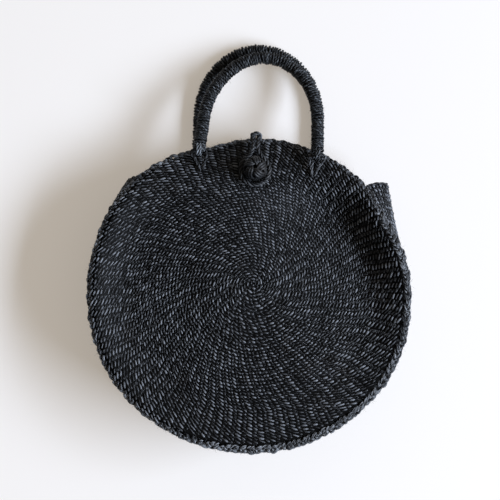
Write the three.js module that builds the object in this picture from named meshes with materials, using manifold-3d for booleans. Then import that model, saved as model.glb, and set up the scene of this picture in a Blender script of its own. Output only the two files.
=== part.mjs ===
// Abaca handbag: two round twined panels joined by a gusset, with two wrapped handles
// and a knob and loop closure. Millimetres. The bag lies on its back panel:
// +X to its right, +Y towards the handles, +Z out of the front panel.

import * as THREE from "three";
import { mergeVertices } from "three/addons/utils/BufferGeometryUtils.js";
import Module from "manifold-3d";

const wasm = await Module();
wasm.setup();

// Body
const RIM_RADIUS = 177; // centre line of the plaited borders
const FRONT_CROWN = 171.5; // reach of the front border's centre line on the mouth side, before it bends
const BACK_CROWN = 170; // reach of the back border's centre line on the mouth side
const BORDER_DIAMETER = 9;
const PANEL_THICKNESS = 4;
const BAG_DEPTH = 84; // from the resting face to the top of the front border, at the bottom of the bag
const FRONT_TILT_DEG = 3.6; // the front panel comes down towards the mouth
const CLEARANCE = 0.3; // between pieces that touch

// Front panel: dished inside its edge, bent down at the mouth
const FOLD_Y = 117; // fold line of the mouth, measured on the flat panel
const FOLD_ROUND = 9; // softness of the fold
const FLAP_BEND_DEG = 21;
const DISH_DEPTH = 5; // all round
const DISH_RIGHT_HOLLOW = 19; // added at the upper right
const DISH_RIGHT_DEG = 32; // direction of that hollow, from +X
const DISH_RIGHT_SPREAD_DEG = 45;
const DISH_LEFT_HOLLOW = 9; // added at the left
const DISH_LEFT_DEG = 180;
const DISH_LEFT_SPREAD_DEG = 55;
const DISH_WALL = 42; // width of the steep wall inside the edge
const DISH_MIDDLE = 20; // radius that the hollows run out to
const DISH_FADE_START = 70; // the dish fades out between these two lines
const DISH_FADE_END = 150;

// Back panel: flat, with its mouth end lifted by the handle feet under it
const BACK_FOOT_GAP = 0.8; // between the feet and the lifted panel
const BACK_LIFT_START = 82;
const BACK_LIFT_END = 147;

// Gusset
const GUSSET_THICKNESS = 4;
const GUSSET_HALF_SWEEP_DEG = 131; // to each side of the bottom, at the borders
const GUSSET_BULGE = 2;
const LEFT_EAR_FLARE = 8;
const RIGHT_EAR_FLARE = 19;
const EAR_SWEEP_DEG = 30; // stretch over which an end flares out
const EAR_ROUND_DEG = 2; // how far an end is hollowed between the borders

// Handles
const FRONT_SPAN = 133; // between the centres of the legs
const BACK_SPAN = 139;
const FRONT_SHIFT = 3; // of the handle towards the right
const BACK_SHIFT = 2.5;
const HANDLE_HEIGHT = 121; // from the foot's eye to the centre line of the arch
const HANDLE_DIAMETER = 14;
const ARCH_RISE = 80; // height of the elliptical part
const FRONT_LEAN = 4.5; // sideways lean of the arch
const BACK_LEAN = -1;
const FRONT_NARROWING = 0.08; // share of the span that the front arch has lost at its top
const WRAP_THICKNESS = 2.4;
const WRAP_TURNS = 24;
const WRAP_GAP = 0.3; // between turns inside the bend, before the strand is faceted
const WRAP_CLEARANCE = 0.8; // from the core, because a faceted turn cuts its corners
const WRAP_START_GAP = 2.5; // from the end of the foot to the middle of the first turn
const FOOT_DIAMETER = 12.8;
const FOOT_LENGTH = 7; // straight part of the foot
const EYE_CLEARANCE = 0.5; // round the lashing
const FRONT_FOOT_SETBACK = 7; // from where the leg crosses the border to the eye
const FRONT_DROOP_DEG = 19; // the front handle leans down on to the back one
const BACK_EYE_OUTSET = 0.4; // of the back eye from the border's centre line

// Lashings
const LASHING_DIAMETER = 2.8;
const LASHING_REACH = 19; // from the eye to the hole in the panel
const LASHING_TOE_IN = 3.5; // of the hole towards the bag's middle
const LASHING_SIDE_GAP = 0.9; // between a strand and the foot beside it
const LASHING_PAIR_GAP = 0.6; // between the two strands in the hole
const LASHING_HOLE_CLEARANCE = 1.2;
const LASHING_KNOT_DIAMETER = 9;

// Knob and loop
const KNOB_Y = 133; // where its cord comes out of the flap
const KNOB_GAP = 1.9; // between the ball and the flap's face
const KNOT_CORD_DIAMETER = 3.6;
const KNOT_MEAN_RADIUS = 11.4;
const KNOT_WEAVE_HEIGHT = 2.1; // how far the cord passes over and under itself
const KNOT_LEADS = 3;
const KNOT_BIGHTS = 5;
const KNOT_LATITUDE_DEG = 60;
const SHANK_DIAMETER = 4;
const END_KNOT_DIAMETER = 10;
const LOOP_CORD_DIAMETER = 4.8;
const LOOP_SLACK = 5; // from the ball's mean radius to the centre line of the ring round it
const LOOP_PAIR_GAP = 0.5; // between the two strands at the rim
const LOOP_LIFT = 0.7; // of the cord from the flap

// Facets
const PANEL_SEGMENTS = 44;
const BORDER_SEGMENTS = 60;
const BORDER_SIDES = 8;
const GUSSET_STEPS = 44;
const GUSSET_ROWS = 4;
const CORE_STEPS = 40;
const CORE_SIDES = 8;
const WRAP_STEPS = 8;
const WRAP_SIDES = 5;
const FOOT_CAP_RINGS = 3;
const FOOT_SIDES = 10;
const LASHING_STEPS = 28;
const LASHING_SIDES = 6;
const LOOP_STEPS = 60;
const LOOP_SIDES = 6;
const KNOT_STEPS = 90;
const KNOT_SIDES = 5;
const HOLE_SIDES = 14; // of eyes, holes and round shanks
const BALL_SIDES = 14;
const BALL_RINGS = 8;
const SMALL_KNOT_SIDES = 10;
const SMALL_KNOT_RINGS = 6;
const HITCH_STEPS = 18;

const BLACK_WEAVE = new THREE.MeshStandardMaterial({ color: 0x24262a, roughness: 0.7, metalness: 0 });
const BLACK_CORD = new THREE.MeshStandardMaterial({ color: 0x2c2e32, roughness: 0.6, metalness: 0 });

const UP = new THREE.Vector3(0, 0, 1);
const rad = THREE.MathUtils.degToRad;
const borderRadius = BORDER_DIAMETER / 2;
const panelRadius = RIM_RADIUS - borderRadius - CLEARANCE;
const frontRimHeight = BAG_DEPTH - borderRadius;
const tiltSlope = Math.tan(rad(FRONT_TILT_DEG));
const backLift = HANDLE_DIAMETER + BACK_FOOT_GAP;
const cutterReach = 4 * RIM_RADIUS; // past the whole bag
const holeReach = 5 * PANEL_THICKNESS; // through a sloping panel, and no further

// A ramp that is flat before zero and of slope one well after it.
function softRamp(distance, softness) {
  return softness * Math.log1p(Math.exp(distance / softness));
}

function crowned(y, crown) {
  return y > 0 ? (y * crown) / RIM_RADIUS : y;
}

// A bell curve of the angle about a direction, which wraps round.
function bell(angleDeg, middleDeg, spreadDeg) {
  const away = THREE.MathUtils.euclideanModulo(angleDeg - middleDeg + 180, 360) - 180;
  return Math.exp(-((away / spreadDeg) ** 2));
}

// Depth of the dish below the flat panel: a wall inside the edge, with two hollows that run out to the middle.
function dishAt(x, y) {
  const r = Math.hypot(x, y);
  const angle = THREE.MathUtils.radToDeg(Math.atan2(y, x));
  const right = DISH_RIGHT_HOLLOW * bell(angle, DISH_RIGHT_DEG, DISH_RIGHT_SPREAD_DEG);
  const left = DISH_LEFT_HOLLOW * bell(angle, DISH_LEFT_DEG, DISH_LEFT_SPREAD_DEG);
  const hollow = (right + left) * THREE.MathUtils.smoothstep(r, DISH_MIDDLE, panelRadius - DISH_WALL);
  const depth = (DISH_DEPTH + hollow) * THREE.MathUtils.smoothstep(panelRadius - r, 0, DISH_WALL);
  return depth * (1 - THREE.MathUtils.smoothstep(y, DISH_FADE_START, DISH_FADE_END));
}

// Front panel: a point of the flat disc, lifted by height, goes to its place on the dished and bent panel.
function frontPoint(x, y, height = 0) {
  const v = crowned(y, FRONT_CROWN);
  const bent = softRamp(v - FOLD_Y, FOLD_ROUND);
  const bend = rad(FLAP_BEND_DEG);
  const z = frontRimHeight - tiltSlope * (v + RIM_RADIUS) - Math.sin(bend) * bent - dishAt(x, y) + height;
  return new THREE.Vector3(x, v - (1 - Math.cos(bend)) * bent, z);
}

// Back panel: the same, on the panel that lies on the table.
function backPoint(x, y, height = 0) {
  const v = crowned(y, BACK_CROWN);
  const lift = backLift * THREE.MathUtils.smoothstep(v, BACK_LIFT_START, BACK_LIFT_END);
  return new THREE.Vector3(x, v, lift + height);
}

// The place on the flat disc that a panel map takes to a given x and world y.
function flatY(map, x, worldY) {
  let low = 0;
  let high = RIM_RADIUS;
  for (let i = 0; i < 40; i += 1) {
    const middle = (low + high) / 2;
    if (map(x, middle).y < worldY) low = middle;
    else high = middle;
  }
  return low;
}

const rimY = (x) => Math.sqrt(RIM_RADIUS ** 2 - x ** 2);

// Angle of the flap towards the mouth, negative because it falls, just before a place on its middle line.
function flapAngle(flatPlace) {
  const step = frontPoint(0, flatPlace).sub(frontPoint(0, flatPlace - BORDER_DIAMETER));
  return Math.atan2(step.z, step.y);
}

function positionsOnly(geometry) {
  const bare = new THREE.BufferGeometry();
  bare.setAttribute("position", geometry.getAttribute("position").clone());
  bare.setIndex(geometry.index);
  const merged = mergeVertices(bare);
  const index = merged.index.array;
  const kept = [];
  for (let i = 0; i < index.length; i += 3) {
    const [a, b, c] = [index[i], index[i + 1], index[i + 2]];
    if (a !== b && b !== c && c !== a) kept.push(a, b, c);
  }
  merged.setIndex(kept);
  return merged;
}

function solidOf(geometry, matrix = new THREE.Matrix4()) {
  const merged = positionsOnly(geometry).applyMatrix4(matrix);
  const vertProperties = new Float32Array(merged.getAttribute("position").array);
  const triVerts = new Uint32Array(merged.index.array);
  return new wasm.Manifold(new wasm.Mesh({ numProp: 3, vertProperties, triVerts }));
}

function geometryOf(solid) {
  const mesh = solid.getMesh();
  const geometry = new THREE.BufferGeometry();
  geometry.setAttribute("position", new THREE.BufferAttribute(new Float32Array(mesh.vertProperties), 3));
  geometry.setIndex(Array.from(mesh.triVerts));
  return geometry;
}

function warped(geometry, map) {
  const bare = positionsOnly(geometry);
  const position = bare.getAttribute("position");
  for (let i = 0; i < position.count; i += 1) {
    const moved = map(position.getX(i), position.getY(i), position.getZ(i));
    position.setXYZ(i, moved.x, moved.y, moved.z);
  }
  return bare;
}

// A closed skin over a row of closed sections, with both ends capped.
function skinOver(sections) {
  const sides = sections[0].length;
  const last = sections.length - 1;
  const index = [];
  for (let i = 0; i < last; i += 1) {
    for (let j = 0; j < sides; j += 1) {
      const a = i * sides + j;
      const b = i * sides + ((j + 1) % sides);
      index.push(a, b, a + sides, b, b + sides, a + sides);
    }
  }
  for (let j = 0; j < Math.floor(sides / 2); j += 1) {
    const quad = [j, j + 1, sides - 2 - j, sides - 1 - j];
    const end = quad.map((k) => last * sides + k);
    index.push(quad[0], quad[2], quad[1], end[0], end[1], end[2]);
    index.push(quad[0], quad[3], quad[2], end[0], end[2], end[3]);
  }
  const geometry = new THREE.BufferGeometry();
  const coordinates = sections.flat().flatMap((p) => p.toArray());
  geometry.setAttribute("position", new THREE.Float32BufferAttribute(coordinates, 3));
  geometry.setIndex(index);
  return positionsOnly(geometry);
}

function tubeOn(extrudePath, diameter, steps, sides) {
  const section = new THREE.Shape().absarc(0, 0, diameter / 2, 0, 2 * Math.PI);
  return new THREE.ExtrudeGeometry(section, { extrudePath, steps, curveSegments: sides / 2 });
}

function tubeAlong(points, diameter, steps, sides) {
  return tubeOn(new THREE.CatmullRomCurve3(points, false, "centripetal"), diameter, steps, sides);
}

function mesh(name, geometry, material) {
  const piece = new THREE.Mesh(geometry, material);
  piece.name = name;
  return piece;
}

// Panels
const FRONT_RINGS = [0, 0.34, 0.6, 0.78, 0.84, 0.89, 0.94, 1];
const BACK_RINGS = [0, 0.45, 0.6, 0.72, 0.82, 0.9, 1];

function disc(rings, low, high) {
  const under = rings.map((share) => new THREE.Vector2(share * panelRadius, low));
  const over = rings.map((share) => new THREE.Vector2(share * panelRadius, high)).reverse();
  return new THREE.LatheGeometry([...under, ...over], PANEL_SEGMENTS).rotateX(Math.PI / 2);
}

const half = PANEL_THICKNESS / 2;
const frontDisc = solidOf(warped(disc(FRONT_RINGS, -half, half), frontPoint));
const backDisc = solidOf(warped(disc(BACK_RINGS, 0, PANEL_THICKNESS), backPoint));
const ring = new THREE.TorusGeometry(RIM_RADIUS, borderRadius, BORDER_SIDES, BORDER_SEGMENTS);
const frontRing = solidOf(warped(ring, frontPoint));
const backRingGeometry = warped(ring, (x, y, height) => backPoint(x, y, height + borderRadius));

// The fold line: the front disc and its border are cut there, and the flap turns about the border's top.
const foldFlatY = (FOLD_Y * RIM_RADIUS) / FRONT_CROWN;
const foldX = Math.sqrt(RIM_RADIUS ** 2 - foldFlatY ** 2);
const fold = frontPoint(foldX, foldFlatY);
const hinge = new THREE.Vector3(0, fold.y, fold.z + borderRadius + CLEARANCE);

function sideOfFold(sign) {
  const block = new THREE.BoxGeometry(cutterReach, cutterReach, cutterReach);
  return solidOf(block.translate(0, fold.y + sign * (cutterReach / 2 + CLEARANCE), 0));
}

const lower = sideOfFold(-1);
const upper = sideOfFold(1);

// Handles. In a handle's own frame the eyes lie on the X axis and the legs rise along +Y.
const frontLeg = FRONT_SPAN / 2;
const backLeg = BACK_SPAN / 2;
const coreRadius = HANDLE_DIAMETER / 2 - WRAP_THICKNESS - WRAP_CLEARANCE;
const footRadius = FOOT_DIAMETER / 2;
const lashingRadius = LASHING_DIAMETER / 2;

function handlePath(leg, lean, narrowing) {
  const outline = new THREE.Path();
  const springing = HANDLE_HEIGHT - ARCH_RISE;
  outline.moveTo(-leg, 0);
  outline.lineTo(-leg, springing);
  outline.absellipse(0, springing, leg, ARCH_RISE, Math.PI, 0, true);
  outline.lineTo(leg, 0);
  const leaning = (p) => {
    const rise = p.y / HANDLE_HEIGHT;
    return new THREE.Vector3(p.x * (1 - narrowing * rise) + lean * rise, p.y, 0);
  };
  return new THREE.CatmullRomCurve3(outline.getSpacedPoints(CORE_STEPS).map(leaning), false, "centripetal");
}

function handleCore(path, leg) {
  let core = solidOf(tubeOn(path, 2 * coreRadius, CORE_STEPS, CORE_SIDES));
  for (const x of [-leg, leg]) {
    const foot = new THREE.CapsuleGeometry(footRadius, FOOT_LENGTH, FOOT_CAP_RINGS, FOOT_SIDES);
    core = core.add(solidOf(foot.translate(x, FOOT_LENGTH / 2, 0)));
  }
  const eyeRadius = lashingRadius + EYE_CLEARANCE;
  const eye = new THREE.CylinderGeometry(eyeRadius, eyeRadius, cutterReach, HOLE_SIDES).rotateZ(Math.PI / 2);
  return geometryOf(core.subtract(solidOf(eye)));
}

// The cord wound round a handle: one unbroken flat strand. Its section lies along the leg and the radius.
function handleWrap(name, path, leg, narrowing) {
  const start = FOOT_LENGTH + footRadius + WRAP_START_GAP;
  const pitch = (path.getLength() - 2 * start) / WRAP_TURNS;
  const leastBend = (leg * (1 - narrowing)) ** 2 / ARCH_RISE;
  const halfWidth = ((pitch * (leastBend - HANDLE_DIAMETER / 2)) / leastBend - WRAP_GAP) / 2;
  const radius = (HANDLE_DIAMETER - WRAP_THICKNESS) / 2;
  const sections = [];
  for (let i = 0; i <= WRAP_TURNS * WRAP_STEPS; i += 1) {
    const along = (start + (i / WRAP_STEPS) * pitch) / path.getLength();
    const tangent = path.getTangentAt(along);
    const side = new THREE.Vector3(-tangent.y, tangent.x, 0);
    const turn = (2 * Math.PI * i) / WRAP_STEPS;
    const outward = side.multiplyScalar(Math.cos(turn)).addScaledVector(UP, Math.sin(turn));
    const centre = path.getPointAt(along).addScaledVector(outward, radius);
    sections.push(
      Array.from({ length: WRAP_SIDES }, (_, j) => {
        const angle = (2 * Math.PI * j) / WRAP_SIDES;
        const point = centre.clone().addScaledVector(outward, (WRAP_THICKNESS / 2) * Math.cos(angle));
        return point.addScaledVector(tangent, -halfWidth * Math.sin(angle));
      }),
    );
  }
  console.log(`${name}: least gap between turns ${leastGap(sections, WRAP_STEPS / 2).toFixed(2)} mm`);
  return skinOver(sections);
}

// The least distance between points of sections that are more than a given number of steps apart.
function leastGap(sections, stepsApart) {
  let least = Infinity;
  for (let i = 0; i < sections.length; i += 1) {
    for (let k = i + stepsApart + 1; k < sections.length; k += 1) {
      for (const p of sections[i]) {
        for (const q of sections[k]) least = Math.min(least, p.distanceTo(q));
      }
    }
  }
  return least;
}

function handle(name, leg, lean, narrowing) {
  const group = new THREE.Group();
  const path = handlePath(leg, lean, narrowing);
  group.add(mesh(`${name}_core`, handleCore(path, leg), BLACK_CORD));
  group.add(mesh(`${name}_winding`, handleWrap(`${name}_winding`, path, leg, narrowing), BLACK_CORD));
  return group;
}

// The front leg rests on the front border; the back handle lies on the table under the back border.
const frontRim = frontPoint(frontLeg, rimY(frontLeg));
const droop = rad(FRONT_DROOP_DEG);
const legOverBorder = HANDLE_DIAMETER / 2 + borderRadius + CLEARANCE;
const frontEye = new THREE.Vector3(
  FRONT_SHIFT,
  frontRim.y + legOverBorder * Math.sin(droop) - FRONT_FOOT_SETBACK * Math.cos(droop),
  frontRim.z + legOverBorder * Math.cos(droop) + FRONT_FOOT_SETBACK * Math.sin(droop),
);
const backRim = backPoint(backLeg, rimY(backLeg));
const backEyeHeight = HANDLE_DIAMETER / 2 + CLEARANCE / 2;
const backEye = new THREE.Vector3(BACK_SHIFT, backRim.y + BACK_EYE_OUTSET, backEyeHeight);

const frontHandle = handle("front_handle", frontLeg, FRONT_LEAN, FRONT_NARROWING);
frontHandle.position.copy(frontEye);
frontHandle.rotation.x = -droop;
const backHandle = handle("back_handle", backLeg, BACK_LEAN, 0);
backHandle.position.copy(backEye);

// Lashings. In a lashing's own frame the eye lies on the X axis, the panel is below it
// and the mouth is towards +Y.
const lashingPair = (LASHING_DIAMETER + LASHING_PAIR_GAP) / 2;
const lashingSplay = footRadius + lashingRadius + LASHING_SIDE_GAP;

function lashing({ drop, toe }) {
  const inside = drop + PANEL_THICKNESS;
  const at = (share, spread, z) => new THREE.Vector3(share * toe + spread, -share * LASHING_REACH, z);
  const sidePoints = (sign) => [
    at(1, sign * lashingPair, -inside - 2 * lashingRadius),
    at(1, sign * lashingPair, -drop),
    at(0.88, sign * 1.6 * lashingPair, 2.2 * lashingRadius - drop),
    at(0.45, sign * 0.7 * lashingSplay, -0.45 * drop),
    new THREE.Vector3(sign * lashingSplay, -2 * lashingRadius, -0.1 * drop),
    new THREE.Vector3(sign * (footRadius + lashingRadius), 0, 0),
    new THREE.Vector3(sign * 0.7 * footRadius, 0, 0),
  ];
  const route = [...sidePoints(-1), ...sidePoints(1).reverse()];
  const knotRadius = LASHING_KNOT_DIAMETER / 2;
  const knot = new THREE.SphereGeometry(knotRadius, SMALL_KNOT_SIDES, SMALL_KNOT_RINGS);
  knot.translate(toe, -LASHING_REACH, -inside - LASHING_HOLE_CLEARANCE - knotRadius);
  const cord = tubeAlong(route, LASHING_DIAMETER, LASHING_STEPS, LASHING_SIDES);
  return geometryOf(solidOf(cord).add(solidOf(knot)));
}

function lashingHole({ drop, toe }) {
  const radius = lashingRadius + LASHING_HOLE_CLEARANCE;
  const hole = new THREE.CylinderGeometry(radius, radius, holeReach, HOLE_SIDES);
  const widening = (radius + lashingPair) / radius;
  return hole.rotateX(Math.PI / 2).scale(widening, 1, 1).translate(toe, -LASHING_REACH, -drop - half);
}

// Where a lashing's frame stands, how far its hole lies to the side, and how far below the eye
// the panel's outer face lies at the hole.
function lashingSeat(eye, leg, face, angle, outerFaceAt) {
  const x = eye.x + leg;
  const inwards = -Math.sign(leg) * LASHING_TOE_IN;
  const place = new THREE.Matrix4().makeTranslation(x, eye.y, eye.z);
  place.multiply(new THREE.Matrix4().makeRotationX(angle));
  if (face < 0) place.multiply(new THREE.Matrix4().makeRotationY(Math.PI));
  const inward = new THREE.Vector3(0, 0, -1).transformDirection(place);
  const mouthward = new THREE.Vector3(0, 1, 0).transformDirection(place);
  const above = new THREE.Vector3(x, eye.y, eye.z).addScaledVector(mouthward, -LASHING_REACH);
  let drop = 0;
  for (let i = 0; i < 20; i += 1) {
    const probe = above.clone().addScaledVector(inward, drop);
    drop += Math.abs(inward.z) * (probe.z - outerFaceAt(x + inwards, probe.y)) * face;
  }
  return { place, drop, toe: inwards * face };
}

const frontFace = (x, y) => frontPoint(x, flatY(frontPoint, x, y), half).z;
const backFace = (x, y) => backPoint(x, flatY(backPoint, x, y)).z;
const lashingSeats = {
  front_left_lashing: lashingSeat(frontEye, -frontLeg, 1, flapAngle(RIM_RADIUS), frontFace),
  front_right_lashing: lashingSeat(frontEye, frontLeg, 1, flapAngle(RIM_RADIUS), frontFace),
  back_left_lashing: lashingSeat(backEye, -backLeg, -1, 0, backFace),
  back_right_lashing: lashingSeat(backEye, backLeg, -1, 0, backFace),
};
const lashings = Object.entries(lashingSeats).map(([name, seat]) => {
  const piece = mesh(name, lashing(seat), BLACK_CORD);
  piece.applyMatrix4(seat.place);
  return piece;
});
const holesIn = (side) =>
  Object.entries(lashingSeats)
    .filter(([name]) => name.startsWith(side))
    .map(([, seat]) => solidOf(lashingHole(seat), seat.place));

// Knob: a cord tied as a ball round a filling, on a cord through the flap.
const knotCordRadius = KNOT_CORD_DIAMETER / 2;
const knobStand = KNOT_MEAN_RADIUS * Math.sin(rad(KNOT_LATITUDE_DEG)) + knotCordRadius + KNOB_GAP;
const shankRadius = SHANK_DIAMETER / 2;

class KnobKnot extends THREE.Curve {
  getPoint(t, target = new THREE.Vector3()) {
    const turn = 2 * Math.PI * t;
    const latitude = rad(KNOT_LATITUDE_DEG) * Math.cos(KNOT_BIGHTS * turn);
    const radius = KNOT_MEAN_RADIUS + KNOT_WEAVE_HEIGHT * Math.sin(2 * KNOT_BIGHTS * turn);
    return target.setFromSphericalCoords(radius, Math.PI / 2 - latitude, KNOT_LEADS * turn);
  }
}

const knobSeat = new THREE.Matrix4().makeTranslation(0, KNOB_Y, frontFace(0, KNOB_Y));
knobSeat.multiply(new THREE.Matrix4().makeRotationX(flapAngle(flatY(frontPoint, 0, KNOB_Y))));
const onFlap = (x, along, height) => new THREE.Vector3(x, along, height).applyMatrix4(knobSeat);

function knob() {
  const group = new THREE.Group();
  const ball = new THREE.Group();
  const fillingRadius = KNOT_MEAN_RADIUS - KNOT_WEAVE_HEIGHT - knotCordRadius - CLEARANCE;
  const knotRadius = END_KNOT_DIAMETER / 2;
  const shankTop = knobStand - fillingRadius - CLEARANCE;
  const inside = -PANEL_THICKNESS - CLEARANCE;
  const endKnot = new THREE.Path();
  endKnot.absarc(0, inside - knotRadius, knotRadius, -Math.PI / 2, Math.acos(shankRadius / knotRadius));
  endKnot.lineTo(shankRadius, shankTop);
  endKnot.lineTo(0, shankTop);
  const shank = new THREE.LatheGeometry(endKnot.getPoints(BALL_RINGS), HOLE_SIDES).rotateX(Math.PI / 2);
  const filling = new THREE.SphereGeometry(fillingRadius, BALL_SIDES, BALL_RINGS);
  const cord = new THREE.TubeGeometry(new KnobKnot(), KNOT_STEPS, knotCordRadius, KNOT_SIDES, true);
  ball.add(mesh("knob_core", positionsOnly(filling), BLACK_CORD));
  ball.add(mesh("knob_knot", positionsOnly(cord.rotateX(Math.PI / 2)), BLACK_CORD));
  ball.position.z = knobStand;
  group.add(ball);
  group.add(mesh("knob_shank", positionsOnly(shank), BLACK_CORD));
  group.applyMatrix4(knobSeat);
  return group;
}

function shankHole() {
  const radius = shankRadius + CLEARANCE;
  return new THREE.CylinderGeometry(radius, radius, holeReach, HOLE_SIDES).rotateX(Math.PI / 2);
}

// Closure loop: hitched round the back border, over the mouth and round the ball, as one cord.
const frontTop = frontPoint(0, RIM_RADIUS);
const backTop = backPoint(0, RIM_RADIUS, borderRadius);
const cordRadius = LOOP_CORD_DIAMETER / 2;
const hitchRadius = borderRadius + CLEARANCE + cordRadius;
const hitchX = (LOOP_CORD_DIAMETER + LOOP_PAIR_GAP) / 2;
const ringRadius = KNOT_MEAN_RADIUS + LOOP_SLACK;

function closureLoop() {
  const height = cordRadius + LOOP_LIFT;
  const roundBorder = (centre, degrees, radius) => {
    const [forward, up] = [Math.cos(rad(degrees)), Math.sin(rad(degrees))];
    return new THREE.Vector3(hitchX, centre.y + radius * forward, centre.z + radius * up);
  };
  const overRadius = hitchRadius + CLEARANCE;
  const halfRing = [
    roundBorder(backTop, -40, hitchRadius),
    roundBorder(backTop, 0, hitchRadius),
    roundBorder(frontTop, -5, overRadius),
    roundBorder(frontTop, 35, overRadius),
    roundBorder(frontTop, 78, overRadius),
    onFlap(1.05 * hitchX, 1.5 * ringRadius, height),
    onFlap(0.4 * ringRadius, 1.08 * ringRadius, height),
    onFlap(0.84 * ringRadius, 0.62 * ringRadius, height),
    onFlap(ringRadius, 0, height),
    onFlap(Math.SQRT1_2 * ringRadius, -Math.SQRT1_2 * ringRadius, height),
  ];
  const mirrored = halfRing.map((p) => new THREE.Vector3(-p.x, p.y, p.z)).reverse();
  const route = [...halfRing, onFlap(0, -ringRadius, height), ...mirrored];
  let loop = solidOf(tubeAlong(route, LOOP_CORD_DIAMETER, LOOP_STEPS, LOOP_SIDES));
  for (const x of [-hitchX, hitchX]) {
    const hitch = new THREE.TorusGeometry(hitchRadius, cordRadius, LOOP_SIDES, HITCH_STEPS);
    loop = loop.add(solidOf(hitch.rotateY(Math.PI / 2).translate(x, backTop.y, backTop.z)));
  }
  return geometryOf(loop);
}

function hitchNotch() {
  const reach = hitchRadius + cordRadius + CLEARANCE;
  const width = 2 * (hitchX + cordRadius + CLEARANCE);
  const notch = new THREE.CylinderGeometry(reach, reach, width, HITCH_STEPS).rotateZ(Math.PI / 2);
  return notch.translate(0, backTop.y, backTop.z);
}

// Gusset: a strip between the two borders from one corner of the mouth round the bottom to the other.
function gusset() {
  const sections = [];
  const edge = borderRadius + CLEARANCE;
  const rows = Array.from({ length: GUSSET_ROWS + 1 }, (_, i) => i / GUSSET_ROWS);
  const wall = (part, share, offset) => {
    const bow = Math.sin(Math.PI * share);
    const end = GUSSET_HALF_SWEEP_DEG - EAR_ROUND_DEG * bow ** 2;
    const angle = rad(part * end - 90);
    const outward = new THREE.Vector3(Math.cos(angle), Math.sin(angle), 0);
    const foot = backPoint(RIM_RADIUS * outward.x, RIM_RADIUS * outward.y, borderRadius + edge);
    const head = frontPoint(RIM_RADIUS * outward.x, RIM_RADIUS * outward.y, -edge);
    const flare = part > 0 ? RIGHT_EAR_FLARE : LEFT_EAR_FLARE;
    const toEnd = end * (1 - Math.abs(part));
    const bulge = GUSSET_BULGE + flare * Math.max(0, 1 - toEnd / EAR_SWEEP_DEG) ** 2;
    return foot.lerp(head, share).addScaledVector(outward, bulge * bow + offset);
  };
  for (let i = 0; i <= GUSSET_STEPS; i += 1) {
    const part = (2 * i) / GUSSET_STEPS - 1;
    const inner = rows.map((share) => wall(part, share, -GUSSET_THICKNESS / 2));
    const outer = rows.map((share) => wall(part, share, GUSSET_THICKNESS / 2)).reverse();
    sections.push([...inner, ...outer]);
  }
  return skinOver(sections);
}

const cutAll = (solid, cutters) => cutters.reduce((left, cutter) => left.subtract(cutter), solid);
const flapSolid = cutAll(frontDisc.intersect(upper), [...holesIn("front"), solidOf(shankHole(), knobSeat)]);
const backSolid = cutAll(backDisc, [...holesIn("back"), solidOf(hitchNotch())]);

const handbag = new THREE.Group();
handbag.add(mesh("back_panel", geometryOf(backSolid), BLACK_WEAVE));
handbag.add(mesh("back_border", backRingGeometry, BLACK_WEAVE));
handbag.add(mesh("gusset", gusset(), BLACK_WEAVE));
handbag.add(mesh("front_panel", geometryOf(frontDisc.intersect(lower)), BLACK_WEAVE));
handbag.add(mesh("front_seam_border", geometryOf(frontRing.intersect(lower)), BLACK_WEAVE));
handbag.add(mesh("front_mouth_flap", geometryOf(flapSolid), BLACK_WEAVE));
handbag.add(mesh("front_mouth_border", geometryOf(frontRing.intersect(upper)), BLACK_WEAVE));
handbag.add(frontHandle, backHandle, ...lashings, knob());
handbag.add(mesh("closure_loop", closureLoop(), BLACK_CORD));

console.log(`mouth hinge at y ${hinge.y.toFixed(2)}, z ${hinge.z.toFixed(2)}`);
console.log(`front eye at y ${frontEye.y.toFixed(2)}, z ${frontEye.z.toFixed(2)}`);
console.log(`back eye at y ${backEye.y.toFixed(2)}, z ${backEye.z.toFixed(2)}`);
console.log(`loop turns about y ${backTop.y.toFixed(2)}, z ${backTop.z.toFixed(2)}`);

export default handbag;
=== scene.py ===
"""Looks of a round handbag twined from black-dyed abaca, lying on its back.

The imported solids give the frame. Each strand that shows is a surface worked out here with numpy,
in metres, in the same frame: +X to the bag's right, +Y towards the handles, +Z out of the front.
"""

from __future__ import annotations

import logging
import math
from collections.abc import Callable
from dataclasses import dataclass, field
from enum import Enum

import bpy
import numpy as np
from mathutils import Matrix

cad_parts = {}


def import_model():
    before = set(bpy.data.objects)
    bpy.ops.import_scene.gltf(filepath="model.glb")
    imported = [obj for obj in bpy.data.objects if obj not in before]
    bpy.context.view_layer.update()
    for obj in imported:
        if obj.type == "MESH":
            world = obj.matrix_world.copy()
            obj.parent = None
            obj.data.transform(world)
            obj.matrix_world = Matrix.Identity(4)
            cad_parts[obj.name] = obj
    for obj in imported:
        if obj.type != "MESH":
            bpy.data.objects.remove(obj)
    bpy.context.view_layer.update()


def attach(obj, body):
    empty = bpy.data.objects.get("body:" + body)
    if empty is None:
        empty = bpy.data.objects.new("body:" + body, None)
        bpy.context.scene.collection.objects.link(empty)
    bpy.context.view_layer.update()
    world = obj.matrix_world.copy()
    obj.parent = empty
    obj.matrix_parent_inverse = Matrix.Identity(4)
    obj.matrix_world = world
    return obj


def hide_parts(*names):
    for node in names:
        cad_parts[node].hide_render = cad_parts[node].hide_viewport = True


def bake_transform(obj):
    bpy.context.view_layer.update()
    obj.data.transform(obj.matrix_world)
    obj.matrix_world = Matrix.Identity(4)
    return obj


LOG = logging.getLogger("abaca_bag")
Array = np.ndarray
Surface = Callable[[Array, Array], Array]

MM = 0.001
UP = np.array([0.0, 0.0, 1.0])
RIGHT = np.array([1.0, 0.0, 0.0])
NEARLY_ALONG = 0.8
KNOT_POINTS = 40
CURVE_SAMPLES = 12
TONE_SHIFT_MM = 500.0
WANDER_WAVES = np.array([0.61, 1.0, 1.7, 2.9])
RIM_WAVES = np.array([7.0, 19.0, 53.0, 131.0])
WANDER_GAIN = 1.6


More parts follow.
